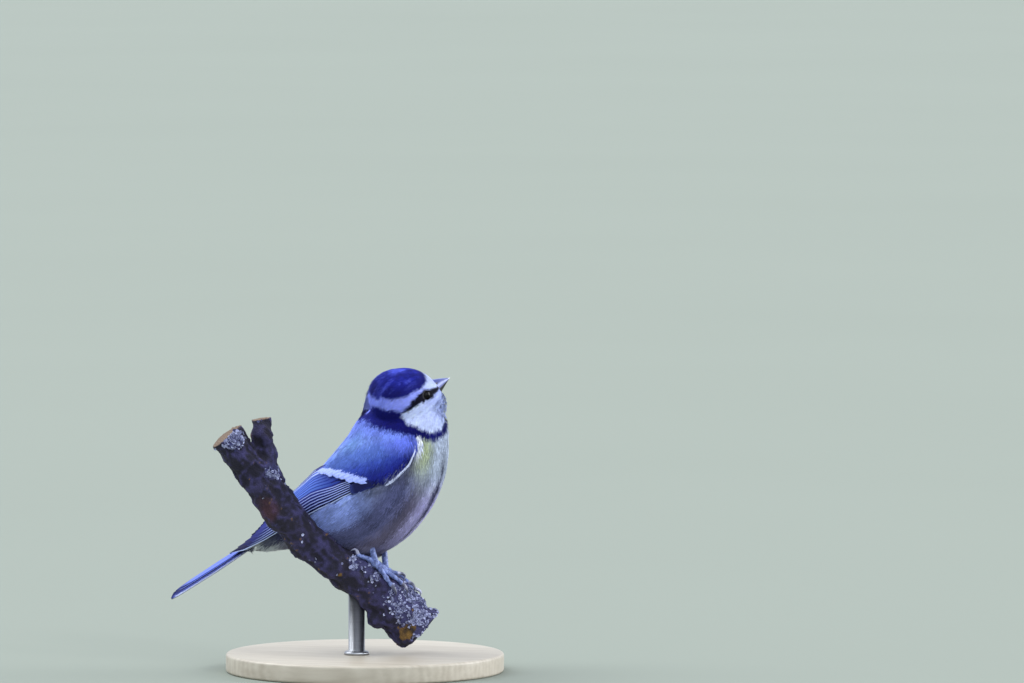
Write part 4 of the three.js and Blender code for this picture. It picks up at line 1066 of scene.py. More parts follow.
def tuft_mesh(points, normals, lies, length, width, lift, colours, places, blades=3, fan=0.22):
    """Tufts as closed blades: their points, triangles, colours, places on the unwrap and soft normals."""
    count = len(points)
    across = np.cross(normals, lies)
    all_points, all_colours, all_maps, all_normals = [], [], [], []
    for blade in range(blades):
        offset = (blade - (blades - 1) / 2) / max(1, blades - 1) * 2
        turn = offset * fan + chance.normal(0, 0.09, count)
        way = lies * np.cos(turn)[:, None] + across * np.sin(turn)[:, None]
        side = np.cross(normals, way)
        long = (length * chance.uniform(0.8, 1.1, count) * (1 - 0.1 * abs(offset)))[:, None]
        wide = (width * chance.uniform(0.8, 1.2, count))[:, None]
        high = (lift * chance.uniform(0.8, 1.2, count))[:, None]
        root = points - normals * 0.12 + across * wide * offset * 0.35
        middle = root + way * long * 0.42 + normals * (0.12 + high * 0.8)
        tip = root + way * long + normals * (0.12 + high)
        left, right, ridge = middle - side * wide / 2, middle + side * wide / 2, middle + normals * wide * 0.2
        five = np.stack([root, left, right, ridge, tip], 1)
        leaning = [normals - way * 0.2, normals - side * 0.45, normals + side * 0.45, normals, normals + way * 0.3]
        tone = chance.normal(1, 0.1, count)[:, None]
        all_points.append(five)
        all_normals.append(unit(np.stack(leaning, 1)))
        all_colours.append(np.stack([colours * tone * part for part in (0.6, 0.94, 0.94, 1.02, 1.06)], 1))
        patch = np.array([[-0.0013, 0], [0, -0.0005], [0, 0.0005], [0, 0], [0.0013, 0]])
        all_maps.append(places[:, None] + patch[None] + np.array([0, offset * 0.0006]))
    points = np.concatenate(all_points).reshape(-1, 3)
    colours = np.clip(np.concatenate(all_colours).reshape(-1, 3), 0, 1)
    maps = np.clip(np.concatenate(all_maps).reshape(-1, 2), 0.0005, 0.9995)
    pattern = np.array([[0, 1, 3], [0, 3, 2], [0, 2, 1], [4, 3, 1], [4, 2, 3], [4, 1, 2]])
    faces = (np.arange(count * blades)[:, None, None] * 5 + pattern[None]).reshape(-1, 3)
    return points, faces, colours, maps[faces.ravel()], np.concatenate(all_normals).reshape(-1, 3)


def coat_density(middles):
    local = head_angles(middles)[2]
    away = np.linalg.norm(local, axis=1)
    body = smooth_step(away, 10.5, 15.0)
    face = smooth_step(local[:, 0], 2.0, 7.0) * (1 - body)
    return 15.0 - 6.0 * body + 8.0 * face


def under_vanes(place, angle):
    """Where the folded wing's long vanes hide the skin, so that no tufts grow there."""
    top, low = wing_edges(place)
    share = (np.degrees(angle) - top) / (low - top)
    return (place < bar_top(share) + 0.52) & (place > 1.2) & (share > -0.02) & (share < 0.985)


root_points, root_normals = sow(coat_density)
root_seat = seat(root_points)
root_turn, root_height, root_local = head_angles(root_points)
from_eye = root_local * np.array([1, 0, 1]) + np.abs(root_local) * np.array([0, 1, 0]) - eye_local
kept = np.linalg.norm(from_eye, axis=1) > 2.1
kept &= away_from(root_local, (9.8, 0, -1.3), (1, 0.8, 0.8)) > 2.2
kept &= root_seat["on_head"] | ~under_vanes(root_seat["place"], root_seat["angle"])
kept &= root_seat["place"] > 1.1 + 0.9 * (np.degrees(root_seat["angle"]) > 74)
root_points, root_normals = root_points[kept], root_normals[kept]
root_turn, root_height, root_local = root_turn[kept], root_height[kept], root_local[kept]
root_seat = {key: value[kept] for key, value in root_seat.items()}
root_lies = lie_of(root_points, root_normals, root_seat)
root_place, root_degrees = root_seat["place"], np.degrees(root_seat["angle"])
is_under = root_degrees > under_edge(root_place)

head_away = np.linalg.norm(root_local, axis=1)
on_body = smooth_step(head_away, 10.5, 15.5)
ahead = smooth_step(root_local[:, 0], -4.0, 8.0)
belly_share = smooth_step(root_degrees, 100, 150) * on_body
rear = smooth_step(5.5 - root_place, 0, 2.5) * on_body
root_length = 2.2 - 1.25 * ahead * (1 - on_body) + on_body * (0.9 + 1.0 * belly_share + 0.3 * rear)
root_width = 0.26 - 0.08 * ahead * (1 - on_body) + 0.13 * on_body
root_lift = coat_depth(root_points) * 0.95 + 0.02
on_cap = smooth_step(root_height, 28, 50) * (1 - on_body)
crest = np.exp(-(((root_local[:, 0] + 5.6) / 2.4) ** 2) - ((root_local[:, 1] - 2.5) / 4.0) ** 2)
crest *= (root_local[:, 2] > 6) & (head_away < 17)
in_hollow = np.exp(-((away_from(root_local, (-10.2, 3.6, 5.6), (1, 0.6, 0.9)) / 4.0) ** 2)) * (1 - on_body)
bristle = smooth_step(root_local[:, 0], 1, 5) * smooth_step(-root_local[:, 2], 1, 4) * (1 - on_body)
shoulder = np.exp(-(((root_place - 11.2) / 0.45) ** 2) - ((root_degrees - 126) / 4) ** 2)
bristle = (bristle + shoulder) * (chance.random(len(bristle)) < 0.16)
root_lift = root_lift + 0.75 * bristle
root_lift = root_lift + 0.25 * on_cap * smooth_step(root_turn, 20, 70) - 0.3 * in_hollow
root_lift = root_lift + crest * (0.15 + chance.uniform(-0.3, 0.4, len(crest)))
root_length = root_length + 0.3 * crest - 0.3 * in_hollow
vent = smooth_step(3.4 - root_place, 0, 1.2) * smooth_step(root_degrees, 78, 95) * on_body
root_length = root_length + 1.5 * vent
root_lift = root_lift * (1 - 0.6 * vent)
head_back = -(head_axes @ np.array([1.0, 0, 0]))
root_lies = unit(root_lies + head_back * 0.25 * crest[:, None])
leg = np.zeros(len(root_points))
for shank_path in shank_paths:
    entry = shank_path[np.argmin([away_from(skin_points, p).min() for p in shank_path])]
    leg = np.maximum(leg, 1 - smooth_step(away_from(root_points, entry), 1.0, 3.6))
down_leg = unit(shank_paths[0][0] - shank_paths[0][-1])
root_lies = unit(root_lies * (1 - 0.5 * leg[:, None]) + down_leg * 0.3 * leg[:, None])
root_length = root_length - 0.4 * leg

# Colour is read where each tuft's visible end lies, and drawn out in fine streaks along the lie
shown_at = root_points + root_lies * (0.62 * root_length)[:, None] + root_normals * coat_depth(root_points)[:, None]
shown_seat = seat(shown_at)
root_colours = plumage(shown_at, shown_seat["place"], shown_seat["angle"], ragged=0.7)
from_root = root_points - bill_root
around_bill = np.arctan2(from_root @ head_axes[:, 2], from_root @ head_axes[:, 1])
head_lines = np.stack([np.linalg.norm(from_root, axis=1) * 0.3, around_bill * 19, around_bill * 0], -1)
body_lines = np.stack([root_place * 0.9, root_seat["angle"] * 30 * root_seat["side"], on_body * 0], -1)
streak = np.where(on_body > 0.5, soft_noise(body_lines, 1.0, 51), soft_noise(head_lines, 1.0, 52))
streak = 0.7 * streak + 0.5 * np.where(
    on_body > 0.5, soft_noise(body_lines * 2.3, 1.0, 53), soft_noise(head_lines * 2.3, 1.0, 54)
)
on_under = on_body * is_under
root_colours = root_colours * (1 + (0.30 + 0.34 * on_cap + 0.34 * on_under - 0.4 * rear) * streak)[:, None]
pale_streak = on_cap * smooth_step(streak, 0.22, 0.6) * smooth_step(root_turn, 20, 60)
root_colours = mix(root_colours, shade(96, 110, 226), 0.4 * pale_streak)
# Painted light: feathers round the legs are made paler where they hang in shade.
root_colours = mix(root_colours, shade(150, 152, 190), 0.25 * leg)

arm_share = arm_rise(root_place, root_seat["angle"]) / arm_height
is_arm = (arm_share > 0.25) & (head_away > 13)
is_head = (root_height - edge_at(root_turn, collar_foot) > 0) & (head_away < 16.5)
is_cap = is_head & (root_height > edge_at(root_turn, cap_edge) - 1)
is_belly = ~is_head & ~is_arm & is_under & (root_place <= 8.6)
regions = {
    "cap_feathers": (is_cap, "head_feathers"),
    "face_and_collar_right": (is_head & ~is_cap & (root_local[:, 1] < 0), "head_feathers"),
    "face_and_collar_left": (is_head & ~is_cap & (root_local[:, 1] >= 0), "head_feathers"),
    "arm_coverts_right": (is_arm & ~is_head & (root_seat["side"] < 0), "wing_feathers"),
    "arm_coverts_left": (is_arm & ~is_head & (root_seat["side"] > 0), "wing_feathers"),
    "mantle_feathers": (~is_head & ~is_arm & ~is_under, "mantle_feathers"),
    "breast_feathers": (~is_head & ~is_arm & is_under & (root_place > 8.6), "breast_feathers"),
    "belly_feathers_right": (is_belly & (root_seat["side"] < 0), "belly_feathers"),
    "belly_feathers_left": (is_belly & (root_seat["side"] > 0), "belly_feathers"),
}
for name, (chosen, slot) in regions.items():
    points, faces, colours, corner_places, soft_normals = tuft_mesh(
        root_points[chosen], root_normals[chosen], root_lies[chosen], root_length[chosen], root_width[chosen],
        root_lift[chosen], root_colours[chosen], root_seat["map"][chosen],
    )
    coat_piece = make_mesh(name, points, faces, colours, {"OFBake": corner_places})
    coat_piece.data.normals_split_custom_set_from_vertices(soft_normals.tolist())
    finish_piece(coat_piece, soft_coat.material, slot)

# The folded wings: overlapping curved blades with shafts. Seven primaries, six secondaries and three
# tertials, with six primary coverts, thirteen greater coverts whose white tips make the bar, and six
# narrow white feathers along the arm's lower edge. The arm's small coverts are tufts of the coat.
vane_columns = np.array([-1, -0.8, -0.45, -0.07, 0.07, 0.45, 0.74, 0.82, 0.92, 1.0])


def vane_grid(upper, lower):
    """A closed thin plate from its upper and lower grids of points."""
    rows, columns = upper.shape[:2]
    points = np.concatenate([upper.reshape(-1, 3), lower.reshape(-1, 3)])
    i, j = np.meshgrid(np.arange(rows - 1), np.arange(columns - 1), indexing="ij")
    a, b = (i * columns + j).ravel(), (i * columns + j + 1).ravel()
    c, d = ((i + 1) * columns + j + 1).ravel(), ((i + 1) * columns + j).ravel()
    below = rows * columns
    upper_faces = np.concatenate([np.stack([a, b, c], 1), np.stack([a, c, d], 1)])
    faces = [upper_faces, upper_faces[:, [0, 2, 1]] + below]
    rim = [k for k in range(columns)] + [k * columns + columns - 1 for k in range(1, rows)]
    rim += [(rows - 1) * columns + k for k in range(columns - 2, -1, -1)]
    rim += [k * columns for k in range(rows - 2, 0, -1)]
    rim = np.array(rim)
    after = np.roll(rim, -1)
    faces.append(np.stack([rim, rim + below, after + below], 1))
    faces.append(np.stack([rim, after + below, after], 1))
    return points, np.concatenate(faces)


def vane_outline(t, blunt):
    """The width of a feather along its length: narrow at the root, rounded at the tip."""
    tip = np.sqrt(np.clip(1 - np.clip((t - blunt) / (1 - blunt), 0, 1) ** 2, 0, 1))
    return np.minimum(0.5 + 2.2 * t, 1) * np.maximum(tip, 0.04)


def wing_vane(side, root, tip, half_width, height, root_height, tilt=0.25, blunt=0.86, rows=14, climb=2.5):
    """A feather of the folded wing, placed by its outer edge: its upper and lower grids, and the place on it."""
    t = np.linspace(0, 1, rows) ** 0.8
    t = t[:, None] * np.ones(len(vane_columns))
    x = vane_columns[None] * np.ones((rows, 1))
    place = root[0] + (tip[0] - root[0]) * t
    share = root[1] + (tip[1] - root[1]) * t
    top, low = wing_edges(place)
    edge = np.clip(np.radians(top + (low - top) * share), 0.02, 3.0)
    per_turn = np.linalg.norm(bare_torso(place, edge + 0.05, side) - bare_torso(place, edge, side), axis=-1) / 0.05
    centre = edge - half_width / per_turn
    angle = np.clip(centre + x * half_width * vane_outline(t, blunt) / per_turn, -1.2, 3.0)
    lift = root_height + (height - root_height) * np.minimum(1, climb * t) + x * tilt + 0.12 * (1 - x * x)
    lift = lift + 0.10 * (np.abs(x) < 0.1)
    upper = torso_point(place, angle, side, lift)
    lower = torso_point(place, angle, side, lift - 0.1 - 0.06 * (1 - x * x))
    if side < 0:
        upper, lower = upper[:, ::-1], lower[:, ::-1]
        x = x[:, ::-1]
    return upper, lower, t, x


def vane_colours(
    t, x, body, inner, edge, tip_colour=None, tip_from=0.9, edge_from=0.84, shaft=0.6, edge_to=2.0,
):
    """A vane's colour from its outer web, inner web, pale outer edge and tip; x is 1 at the outer edge."""
    colour = mix(np.broadcast_to(body, x.shape + (3,)), inner, smooth_step(-x, 0.05, 0.6))
    on_edge = smooth_step(x, edge_from - 0.06, edge_from) * (1 - smooth_step(t, edge_to - 0.2, edge_to))
    colour = mix(colour, edge, on_edge)
    colour = mix(colour, body * shaft, (np.abs(x) < 0.1) * 0.8)
    if tip_colour is not None:
        colour = mix(colour, tip_colour, smooth_step(t, tip_from - 0.03, tip_from + 0.02))
    return colour


class FeatherBundle:
    """Gathers vanes into one piece, each with its own cell of the piece's bake map."""

    def __init__(self, cells):
        self.parts, self.colours, self.maps, self.vane_maps = [], [], [], []
        self.cells = cells
        self.count = 0

    def add(self, upper, lower, t, x, colour, length):
        points, faces = vane_grid(upper, lower)
        across = math.ceil(math.sqrt(self.cells))
        column, row = self.count % across, self.count // across
        u = (column + 0.05 + 0.44 * (x + 1) / 2) / across
        v = (row + 0.04 + 0.92 * t) / across
        top = np.stack([u, v], -1).reshape(-1, 2)
        maps = np.concatenate([top, top + np.array([0.46 / across, 0])])
        self.maps.append(maps[faces.ravel()])
        vane = np.stack([(x + 1) / 2, t * length], -1).reshape(-1, 2)
        self.vane_maps.append(np.concatenate([vane, vane])[faces.ravel()])
        self.parts.append((points, faces))
        self.colours.append(np.concatenate([colour.reshape(-1, 3), colour.reshape(-1, 3) * 0.75]))
        self.count += 1

    def make(self, name):
        points, faces = joined_parts(self.parts)
        maps = {"OFBake": np.concatenate(self.maps), "Vane": np.concatenate(self.vane_maps)}
        return make_mesh(name, points, faces, np.clip(np.concatenate(self.colours), 0, 1), maps)


def vane_finish():
    """Barbs run slantwise from the shaft to each edge, fine as hairs."""
    finish = Finish("barbed vanes", 0.55, Specular_IOR_Level=0.16)
    where = finish.add("UVMap", {"uv_map": "Vane"})
    split = finish.add("SeparateXYZ", None, Vector=where.outputs[0])
    centred = finish.add("Math", {"operation": "SUBTRACT"}, i0=split.outputs[0], i1=0.5)
    out = finish.add("Math", {"operation": "ABSOLUTE"}, i0=centred.outputs[0])
    slant = finish.add("Math", {"operation": "MULTIPLY_ADD"}, i0=out.outputs[0], i1=-3.0, i2=split.outputs[1])
    many = finish.add("Math", {"operation": "MULTIPLY"}, i0=slant.outputs[0], i1=26.0)
    wave = finish.add("Math", {"operation": "SINE"}, i0=many.outputs[0])
    tone = finish.add("MapRange", None, Value=wave.outputs[0], From_Min=-1.0, To_Min=0.88, To_Max=1.07)
    barred = finish.blend(1.0, finish.tint(), tone.outputs[0], "MULTIPLY")
    barbs = finish.add("Group", {"node_tree": feather_barbs}, Color=barred, Scale=1500.0, Change=0.3)
    finish.link(barbs.outputs["Color"], "Base Color")
    finish.bump(0.25, 0.00005, wave.outputs[0])
    return finish


barbed_vane = vane_finish()
dark_web = shade(14, 16, 70)
pale_edge = shade(172, 188, 255)
coverts_white = shade(196, 212, 255)
bar_white = shade(164, 180, 252)
lining_white = shade(206, 214, 246)
covert_blue = shade(60, 82, 190)


def between(first, last, t):
    return [a + (b - a) * t for a, b in zip(first, last)]


def add_row(bundle, side, count, first, last, paint, **common):
    """A row of like feathers, each eased from the first to the last."""
    for number in range(count):
        t = number / (count - 1)
        root, tip = between(first[0], last[0], t), between(first[1], last[1], t)
        half_width = first[2] + (last[2] - first[2]) * t
        settings = {key: (v[0] + (v[1] - v[0]) * t if isinstance(v, tuple) else v) for key, v in common.items()}
        upper, lower, along, x = wing_vane(side, root, tip, half_width, **settings)
        length = float(np.linalg.norm(upper[-1, 4] - upper[0, 4]))
        bundle.add(upper, lower, along, x, paint(along, x, t, number), length)


# A root or tip is a slice of the body and a share of the way from the wing's upper edge to its lower one
for word, side in (("right", -1.0), ("left", 1.0)):
    flight = FeatherBundle(49)
    add_row(
        flight, side, 7, ([8.9, 0.995], [0.4 + 0.3 * (side + 1), 0.86], 1.6), ([8.1, 0.835], [2.0, 0.36], 1.9),
        lambda t, x, k, n: vane_colours(
            t, x, mix(shade(6, 8, 58), shade(30, 42, 140), k * smooth_step(t, 0.05, 0.4)), dark_web,
            mix(pale_edge, coverts_white, 1.0 if n == 0 else 0.0), edge_from=0.92, shaft=0.9,
            edge_to=2.0 if n == 0 else 0.98,
        ),
        height=(0.45, 1.0), root_height=(0.3, 0.6), tilt=0.24, blunt=0.92,
    )
    # Secondaries: blue, darker towards their roots just under the white bar, which is painted shade below the coverts.
    add_row(
        flight, side, 6, ([8.0, 0.80], [2.2, 0.32], 2.2), ([7.2, 0.42], [2.8, 0.06], 2.5),
        lambda t, x, k, n: vane_colours(
            t, x, mix(shade(38, 56, 142), shade(78, 112, 206), smooth_step(t, 0.14, 0.5)) * (1.0 + 0.1 * (n % 2)),
            shade(50, 70, 180), shade(34, 46, 148), edge_from=0.95, shaft=0.94,
        ),
        height=(1.08, 1.35), root_height=(0.6, 0.8), tilt=0.18, blunt=0.9,
    )
    add_row(
        flight, side, 3, ([6.9, 0.38], [2.9, -0.06], 2.3), ([6.0, 0.12], [4.2, -0.08], 1.5),
        lambda t, x, k, n: vane_colours(
            t, x, shade(84, 104, 204) if n == 0 else shade(34, 42, 120), dark_web, coverts_white, coverts_white,
            0.96, edge_from=0.84, shaft=0.6,
        ),
        height=(1.5, 1.85), root_height=(0.9, 1.1), tilt=0.16, blunt=0.86,
    )
    add_row(
        flight, side, 6, ([9.4, 1.03], [7.5, 0.99], 0.75), ([9.2, 0.93], [7.62, 0.89], 0.75),
        lambda t, x, k, n: vane_colours(
            t, x, shade(18, 24, 76), shade(10, 14, 52), shade(40, 52, 126), shade(62, 76, 156), 0.95,
            edge_from=0.9, shaft=0.9,
        ),
        height=(0.95, 1.15), root_height=(0.1, 0.1), tilt=0.08, blunt=0.9,
    )
    add_row(
        flight, side, 6, ([10.95, 1.05], [10.15, 1.06], 0.22), ([9.7, 1.09], [8.85, 1.12], 0.42),
        lambda t, x, k, n: vane_colours(
            t, x, lining_white, lining_white, lining_white, shade(150, 156, 190), 0.95, edge_from=0.9, shaft=0.9
        ),
        height=(1.35, 1.1), root_height=(0.8, 0.7), tilt=-0.1, blunt=0.5,
    )
    for number in range(13):
        share = 0.885 - 0.645 * number / 12
        high_place = float(bar_top(share))
        low_place = float(np.interp(share, [0.24, 0.28, 0.47, 0.60, 0.70, 0.80, 0.88, 0.92],
                                    [5.86, 5.93, 6.56, 7.06, 7.42, 7.72, 8.04, 8.26]))
        low_place += 0.07 * math.sin(number * 2.4)
        upper, lower, along, x = wing_vane(
            side, [high_place + 0.9, share - 0.02], [low_place, share + 0.03], 1.15, height=1.6, root_height=0.15,
            tilt=0.08, blunt=0.8, rows=14, climb=1.0,
        )
        length = float(np.linalg.norm(upper[-1, 4] - upper[0, 4]))
        white_length = min(0.85, high_place - low_place + 0.28)
        white_from = 1 - white_length / (0.9 + high_place - low_place)
        colour = vane_colours(
            along, x, covert_blue, covert_blue, covert_blue, bar_white, white_from, shaft=0.95
        )
        flight.add(upper, lower, along, x, colour, length)
    flight_piece = flight.make(f"wing_vanes_{word}")
    finish_piece(flight_piece, barbed_vane.material, "wing_feathers", f"wing_{word}")

# The tail: twelve long vanes nearly closed, blue with dark tips, and a thin black line painted along each outer margin
# as the shade between feathers. The pair beside the middle one is nearly black, and the outer two on each side are
# pale-edged.
# They root under the coverts, at the end of the body, and the tail turns and rolls a little to the right.
tail_root = np.array([-24.5, 0.0, 43.0])
tail_length = 40.8
tail_pitch = math.radians(33)
tail_share = float(smooth_step(bend_start - 2.2, 0, bend_length))
tail_run = min(0.0, tail_root[0] - float(eased(torso_rows, bend_start, 0)))
tail_place = np.array([tail_root[0], tail_run * math.sin(rear_turn * tail_share) * 0.6, tail_root[2]])
tail_axes = turned(rear_turn, -tail_pitch, rear_roll)
tail = FeatherBundle(12)
# From the middle pair outwards
tail_tones = [
    shade(116, 136, 236), shade(6, 8, 36), shade(64, 82, 190), shade(92, 110, 214), shade(60, 78, 190),
    shade(96, 112, 214),
]
for number in range(12):
    t = 2 * number / 11 - 1
    outer = abs(t)
    rows = 22
    s = (np.linspace(0, 1, rows) ** 0.85)[:, None] * np.ones(len(vane_columns))
    x = vane_columns[None] * np.ones((rows, 1)) * (1 if t > 0 else -1)
    x = np.sort(x, axis=1)
    run = (tail_length + 0.3 - 1.4 * (1 - outer) - 3.6 * smooth_step(t, -0.35, 0.5)) * s
    narrowing = 1 - 0.4 * smooth_step(s, 0.45, 1)
    offset = t * (1.2 + run * math.sin(math.radians(2.6))) * narrowing
    width = 2.5 * np.minimum(0.4 + s, 1) * vane_outline(s, 0.82) / np.minimum(0.5 + 2.2 * s, 1) * narrowing
    height = 0.2 + 0.75 * (1 - outer) - 0.2 * x * np.sign(t) * s + 0.06 * (np.abs(x) < 0.1)
    upper = np.stack([-run, offset + x * width, height], -1) @ tail_axes.T + tail_place
    lower = np.stack([-run, offset + x * width, height - 0.14 - 0.08 * (1 - x * x)], -1) @ tail_axes.T + tail_place
    outward = x * np.sign(t)
    web = tail_tones[int(round((outer * 11 - 1) / 2))]
    rim = mix(web, shade(206, 216, 255), 1.0 if outer > 0.7 else 0.02)
    rim_from = np.interp(outer, [0.7, 0.8, 0.9, 1.0], [0.8, 0.4, 0.4, 0.6])
    colour = vane_colours(s, outward, web, web * 0.8, rim, edge_from=rim_from, shaft=0.8)
    # Painted shade: a thin near-black line along each vane's outer margin, for the shade between overlapping feathers.
    colour = mix(colour, shade(6, 8, 34), (outward > 0.97) * 0.95)
    colour = mix(colour, shade(22, 26, 88), 0.85 * smooth_step(s, 0.86 if outer < 0.7 else 0.95, 0.97))
    tail.add(upper, lower, s, x, colour, tail_length)
tail_piece = tail.make("tail_vanes")
tidy_surface(tail_piece, 1e-8)
finish_piece(tail_piece, barbed_vane.material, "tail_feathers", "tail")

# The eyes: dark glossy balls deep in the head, each ringed by thin blue-black lids.
# The iris is dark brown round a black pupil, under one clear, wet surface.
eye_radius = 2.0
eye_forward = math.radians(14)
eye_ball = Finish("wet eye", 0.07, Specular_IOR_Level=0.12)
eye_noise = eye_ball.add("TexNoise", None, Vector=eye_ball.spot(), Scale=3200.0, Detail=2.0)
eye_tone = eye_ball.add("MapRange", None, Value=eye_noise.outputs["Fac"], To_Min=0.6, To_Max=1.3)
eye_ball.show_tint(eye_tone.outputs[0])
lid_skin = plumage_finish("eyelid skin", 0.6, 4200.0, 0.8, 0.5)

for word, side in (("right", -1.0), ("left", 1.0)):
    middle = eye_local * np.array([1, side, 1])
    outward = np.array([math.sin(eye_forward), side * math.cos(eye_forward), 0.0])
    upward = np.array([0.0, 0.0, 1.0])
    forward = np.cross(upward, outward)
    lean = np.linspace(0.02, math.pi - 0.02, 40)[:, None]
    spin = (np.arange(48) * 2 * math.pi / 48)[None]
    rings = (
        np.cos(lean)[..., None] * outward
        + (np.sin(lean) * np.cos(spin))[..., None] * forward
        + (np.sin(lean) * np.sin(spin))[..., None] * upward
    )
    bulge = 1 + 0.035 * np.exp(-((lean / 0.5) ** 2))
    local = middle + eye_radius * 0.985 * rings * bulge[..., None]
    points, faces = capped_tube(local @ head_axes.T + head_middle)
    off_axis = np.degrees(np.append(np.repeat(lean[:, 0], 48), [0.0, math.pi]))
    iris = smooth_step(off_axis, 26, 30) * (1 - smooth_step(off_axis, 46, 52))
    eye_colour = mix(shade(2, 2, 5), shade(12, 8, 9), iris)
    eye_piece = make_mesh(f"eye_ball_{word}", points, faces, eye_colour)
    tidy_surface(eye_piece, 1e-7)
    finish_piece(eye_piece, eye_ball.material, "eye", f"eye_{word}")

    lid_turn = (np.arange(56) * 2 * math.pi / 56)[:, None]
    lid_round = (np.arange(12) * 2 * math.pi / 12)[None]
    wrinkle = 1 + 0.10 * np.sin(lid_turn * 17) + 0.06 * np.sin(lid_turn * 29 + 1)
    ring = 1.70 + 0.26 * wrinkle * np.cos(lid_round)
    stand = 1.28 + 0.26 * np.sin(lid_round) + 0.0 * lid_turn
    oval = 1 - 0.10 * np.abs(np.sin(lid_turn))
    lid = (
        middle
        + (ring * np.cos(lid_turn))[..., None] * forward
        + (ring * oval * np.sin(lid_turn))[..., None] * upward
        + stand[..., None] * outward
    )
    lid_points = (lid @ head_axes.T + head_middle).reshape(-1, 3)
    i, j = np.meshgrid(np.arange(56), np.arange(12), indexing="ij")
    k, m = (i + 1) % 56, (j + 1) % 12
    lid_faces = np.stack([i * 12 + j, k * 12 + j, k * 12 + m, i * 12 + m], -1).reshape(-1, 4)
    lid_tint = np.tile(shade(9, 9, 24), (len(lid_points), 1))
    lid_piece = make_mesh(f"eyelids_{word}", lid_points, lid_faces, lid_tint)
    tidy_surface(lid_piece, 1e-8)
    finish_piece(lid_piece, lid_skin.material, "head_feathers")

# The bill: a short stout cone in two halves that meet in the line of the mouth.
# The upper half is slate with a pale cutting edge and round nostrils, the lower one nearly black below.
bill_base, bill_tip, bill_level = 6.6, 15.0, -1.1
horn = Finish("bill horn", 0.32, Coat_Weight=0.25, Coat_Roughness=0.2)
horn_streak = horn.add("TexNoise", None, Vector=horn.spot(), Scale=900.0, Detail=4.0).outputs["Fac"]
horn_tone = horn.add("MapRange", None, Value=horn_streak, From_Min=0.25, From_Max=0.75, To_Min=0.8, To_Max=1.15)
horn.show_tint(horn_tone.outputs[0])
horn.bump(0.15, 0.0001, horn_streak)


def from_nostril(local, side):
    return away_from(local, (9.9, side * 1.25, 0.1), (0.75, 0.5, 1.1))


def bill_half(is_upper):
    rows, columns = 40, 33
    sign = 1.0 if is_upper else -1.0
    depth = 3.0
    reach = bill_tip if is_upper else bill_tip - 0.5
    t = np.linspace(0, 1, rows)[:, None] ** 0.9
    real = np.clip((bill_base + (reach - bill_base) * t - 7.6) / (reach - 7.6), 0, 1)
    angle = np.linspace(0, math.pi, columns)[None]
    x = bill_base + (reach - bill_base) * t
    taper = np.maximum(0.03, 1 - real ** (1.35 if is_upper else 1.2))
    width = np.maximum(0.05, 2.1 * (1 - real**1.1) * (1.0 if is_upper else 0.88))
    droop = -0.08 * real**3
    ridge = 0.12 * np.exp(-(((angle - math.pi / 2) / 0.3) ** 2)) * (1 - real)
    z = bill_level + droop + sign * (0.06 + depth * (taper + ridge * 0.4) * np.sin(angle) ** 0.95)
    y = width * np.cos(angle)
    local = np.stack([x + 0 * angle, y + 0 * t, z], -1)
    if is_upper:
        for side in (-1.0, 1.0):
            pit = 0.55 * np.exp(-((from_nostril(local, side) / 0.36) ** 2))
            local = local + pit[..., None] * np.array([0.0, -side * 0.5, -0.25])
    rings = local @ head_axes.T + head_middle
    if not is_upper:
        rings = rings[:, ::-1]
    points, faces = capped_tube(rings[:, ::-1])
    along = np.repeat(real[:, 0], columns)
    around = np.tile(np.sin(angle[0]), rows)
    if is_upper:
        colour = mix(shade(44, 56, 128), shade(96, 104, 158), smooth_step(along, 0.1, 0.9))
        colour = mix(colour, shade(158, 166, 214), 1 - smooth_step(around, 0.25, 0.6))
        # Painted highlights: a pale line along the upper half's ridge and a near-white tip.
        colour = mix(colour, shade(150, 160, 214), smooth_step(around, 0.93, 1.0) * 0.6)
        colour = mix(colour, shade(226, 232, 248), smooth_step(along, 0.88, 0.97))
        # Painted shade: the nostril pits are darkened nearly to black.
        for side in (-1.0, 1.0):
            pit = from_nostril(local.reshape(-1, 3), side)
            colour = mix(colour, shade(8, 8, 18), 1 - smooth_step(pit, 0.2, 0.45))
    else:
        colour = mix(shade(4, 4, 12), shade(110, 116, 170), 1 - smooth_step(around, 0.06, 0.3))
    ends = np.tile(shade(120, 126, 176), (2, 1))
    return points, faces, np.concatenate([colour, ends])


for is_upper, node in ((True, "bill_upper"), (False, "bill_lower")):
    points, faces, colours = bill_half(is_upper)
    bill_piece = make_mesh("horn_" + node, points, faces, colours)
    tidy_surface(bill_piece, 1e-8)
    finish_piece(bill_piece, horn.material, "bill_horn", node)

# The room: one wide pale floor that runs out of sight, soft light from broad distant suns, and the camera
# at the photograph's angle, a little behind and to the right of the bird.
floor_points, floor_faces = lathe([(0.001, 0.0), (300.0, 0.0), (3000.0, 0.0), (20000.0, 0.0)], 64)
floor = make_mesh("pale_floor", floor_points - np.array([0, 0, 0.05]), floor_faces)
tidy_surface(floor, 1e-9)
floor_finish = Finish("pale matt floor", 0.9)
floor_noise = floor_finish.add("TexNoise", None, Vector=floor_finish.spot(), Scale=3.0, Detail=2.0)
floor_tone = floor_finish.blend(floor_noise.outputs["Fac"], rgba(131, 138, 127), rgba(134, 141, 130))
floor_finish.link(floor_tone, "Base Color")
floor.data.materials.append(floor_finish.material)

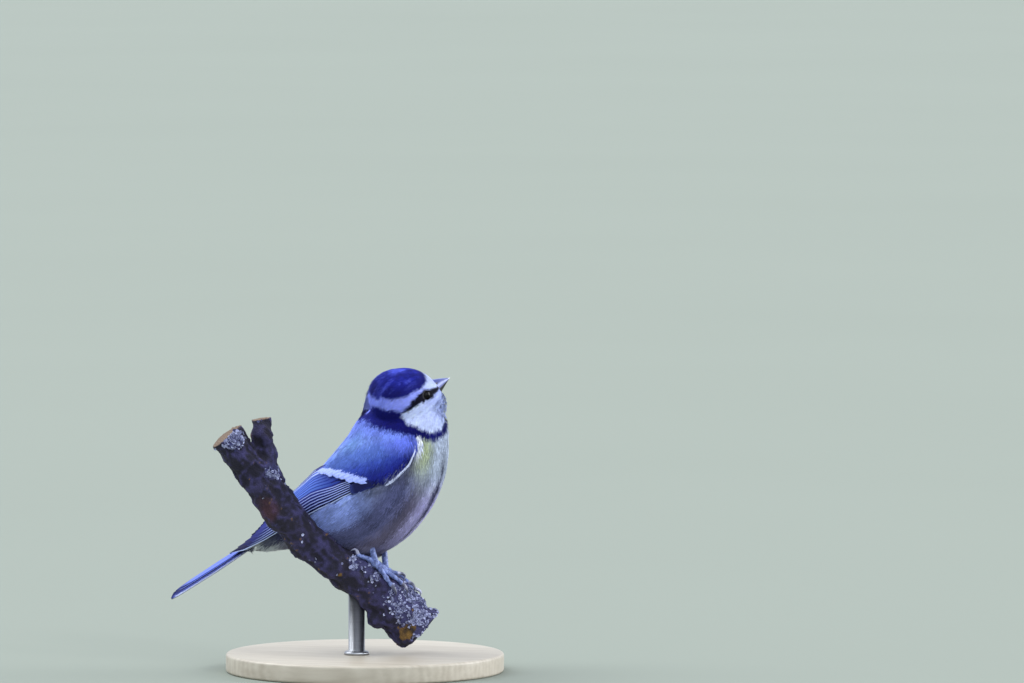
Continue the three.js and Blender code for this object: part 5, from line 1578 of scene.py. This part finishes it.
world = bpy.data.worlds.new("soft room")
world.use_nodes = True
sky = world.node_tree.nodes["Background"]
sky.inputs["Color"].default_value = rgba(214, 222, 236)
sky.inputs["Strength"].default_value = 1.05
scene.world = world

# The photograph's view: its size in pixels, the part's origin in it, and a pixel's size at the bird
picture_width, picture_height = 1024, 683
origin_across, origin_down = 365, 671
pixel = 0.295 * MM
camera_turn, camera_rise = math.radians(18), math.radians(4)
flat_reach = math.cos(camera_rise)
backward = np.array([
    math.sin(camera_turn) * flat_reach, -math.cos(camera_turn) * flat_reach, math.sin(camera_rise),
])
rightward = np.array([math.cos(camera_turn), math.sin(camera_turn), 0.0])
upward = np.cross(backward, rightward)


def soft_sun(name, right, up, towards_camera, strength, spread, colour):
    """A broad distant light that comes from so far to the right, above and towards the camera."""
    light = bpy.data.lights.new(name, "SUN")
    light.energy = strength
    light.angle = math.radians(spread)
    light.color = colour
    lamp = bpy.data.objects.new(name, light)
    source = rightward * right + np.array([0, 0, up]) + backward * towards_camera
    lamp.rotation_euler = Vector(source).to_track_quat("Z", "Y").to_euler()
    scene.collection.objects.link(lamp)


soft_sun("key_light", -0.75, 1.0, -0.25, 3.0, 50, (0.94, 0.97, 1.0))
soft_sun("rim_light", 1.0, 0.4, -0.2, 2.4, 40, (0.95, 0.96, 1.0))
soft_sun("fill_light", 0.35, 0.5, 1.0, 0.9, 70, (0.92, 0.95, 1.0))
soft_sun("catch_light", 0.62, 0.44, 0.65, 0.35, 7, (0.96, 0.98, 1.0))

aim = rightward * (picture_width / 2 - origin_across) * pixel
aim = aim + upward * (origin_down - picture_height / 2) * pixel
camera_data = bpy.data.cameras.new("camera")
camera_data.sensor_width = 36.0
camera_distance = 3.0
camera_data.lens = 36.0 * camera_distance / (picture_width * pixel)
camera_data.clip_end = 100.0
camera = bpy.data.objects.new("camera", camera_data)
camera.location = aim + backward * camera_distance
camera.rotation_euler = Vector(backward).to_track_quat("Z", "Y").to_euler()
scene.collection.objects.link(camera)
scene.camera = camera
scene.view_settings.view_transform = "Standard"
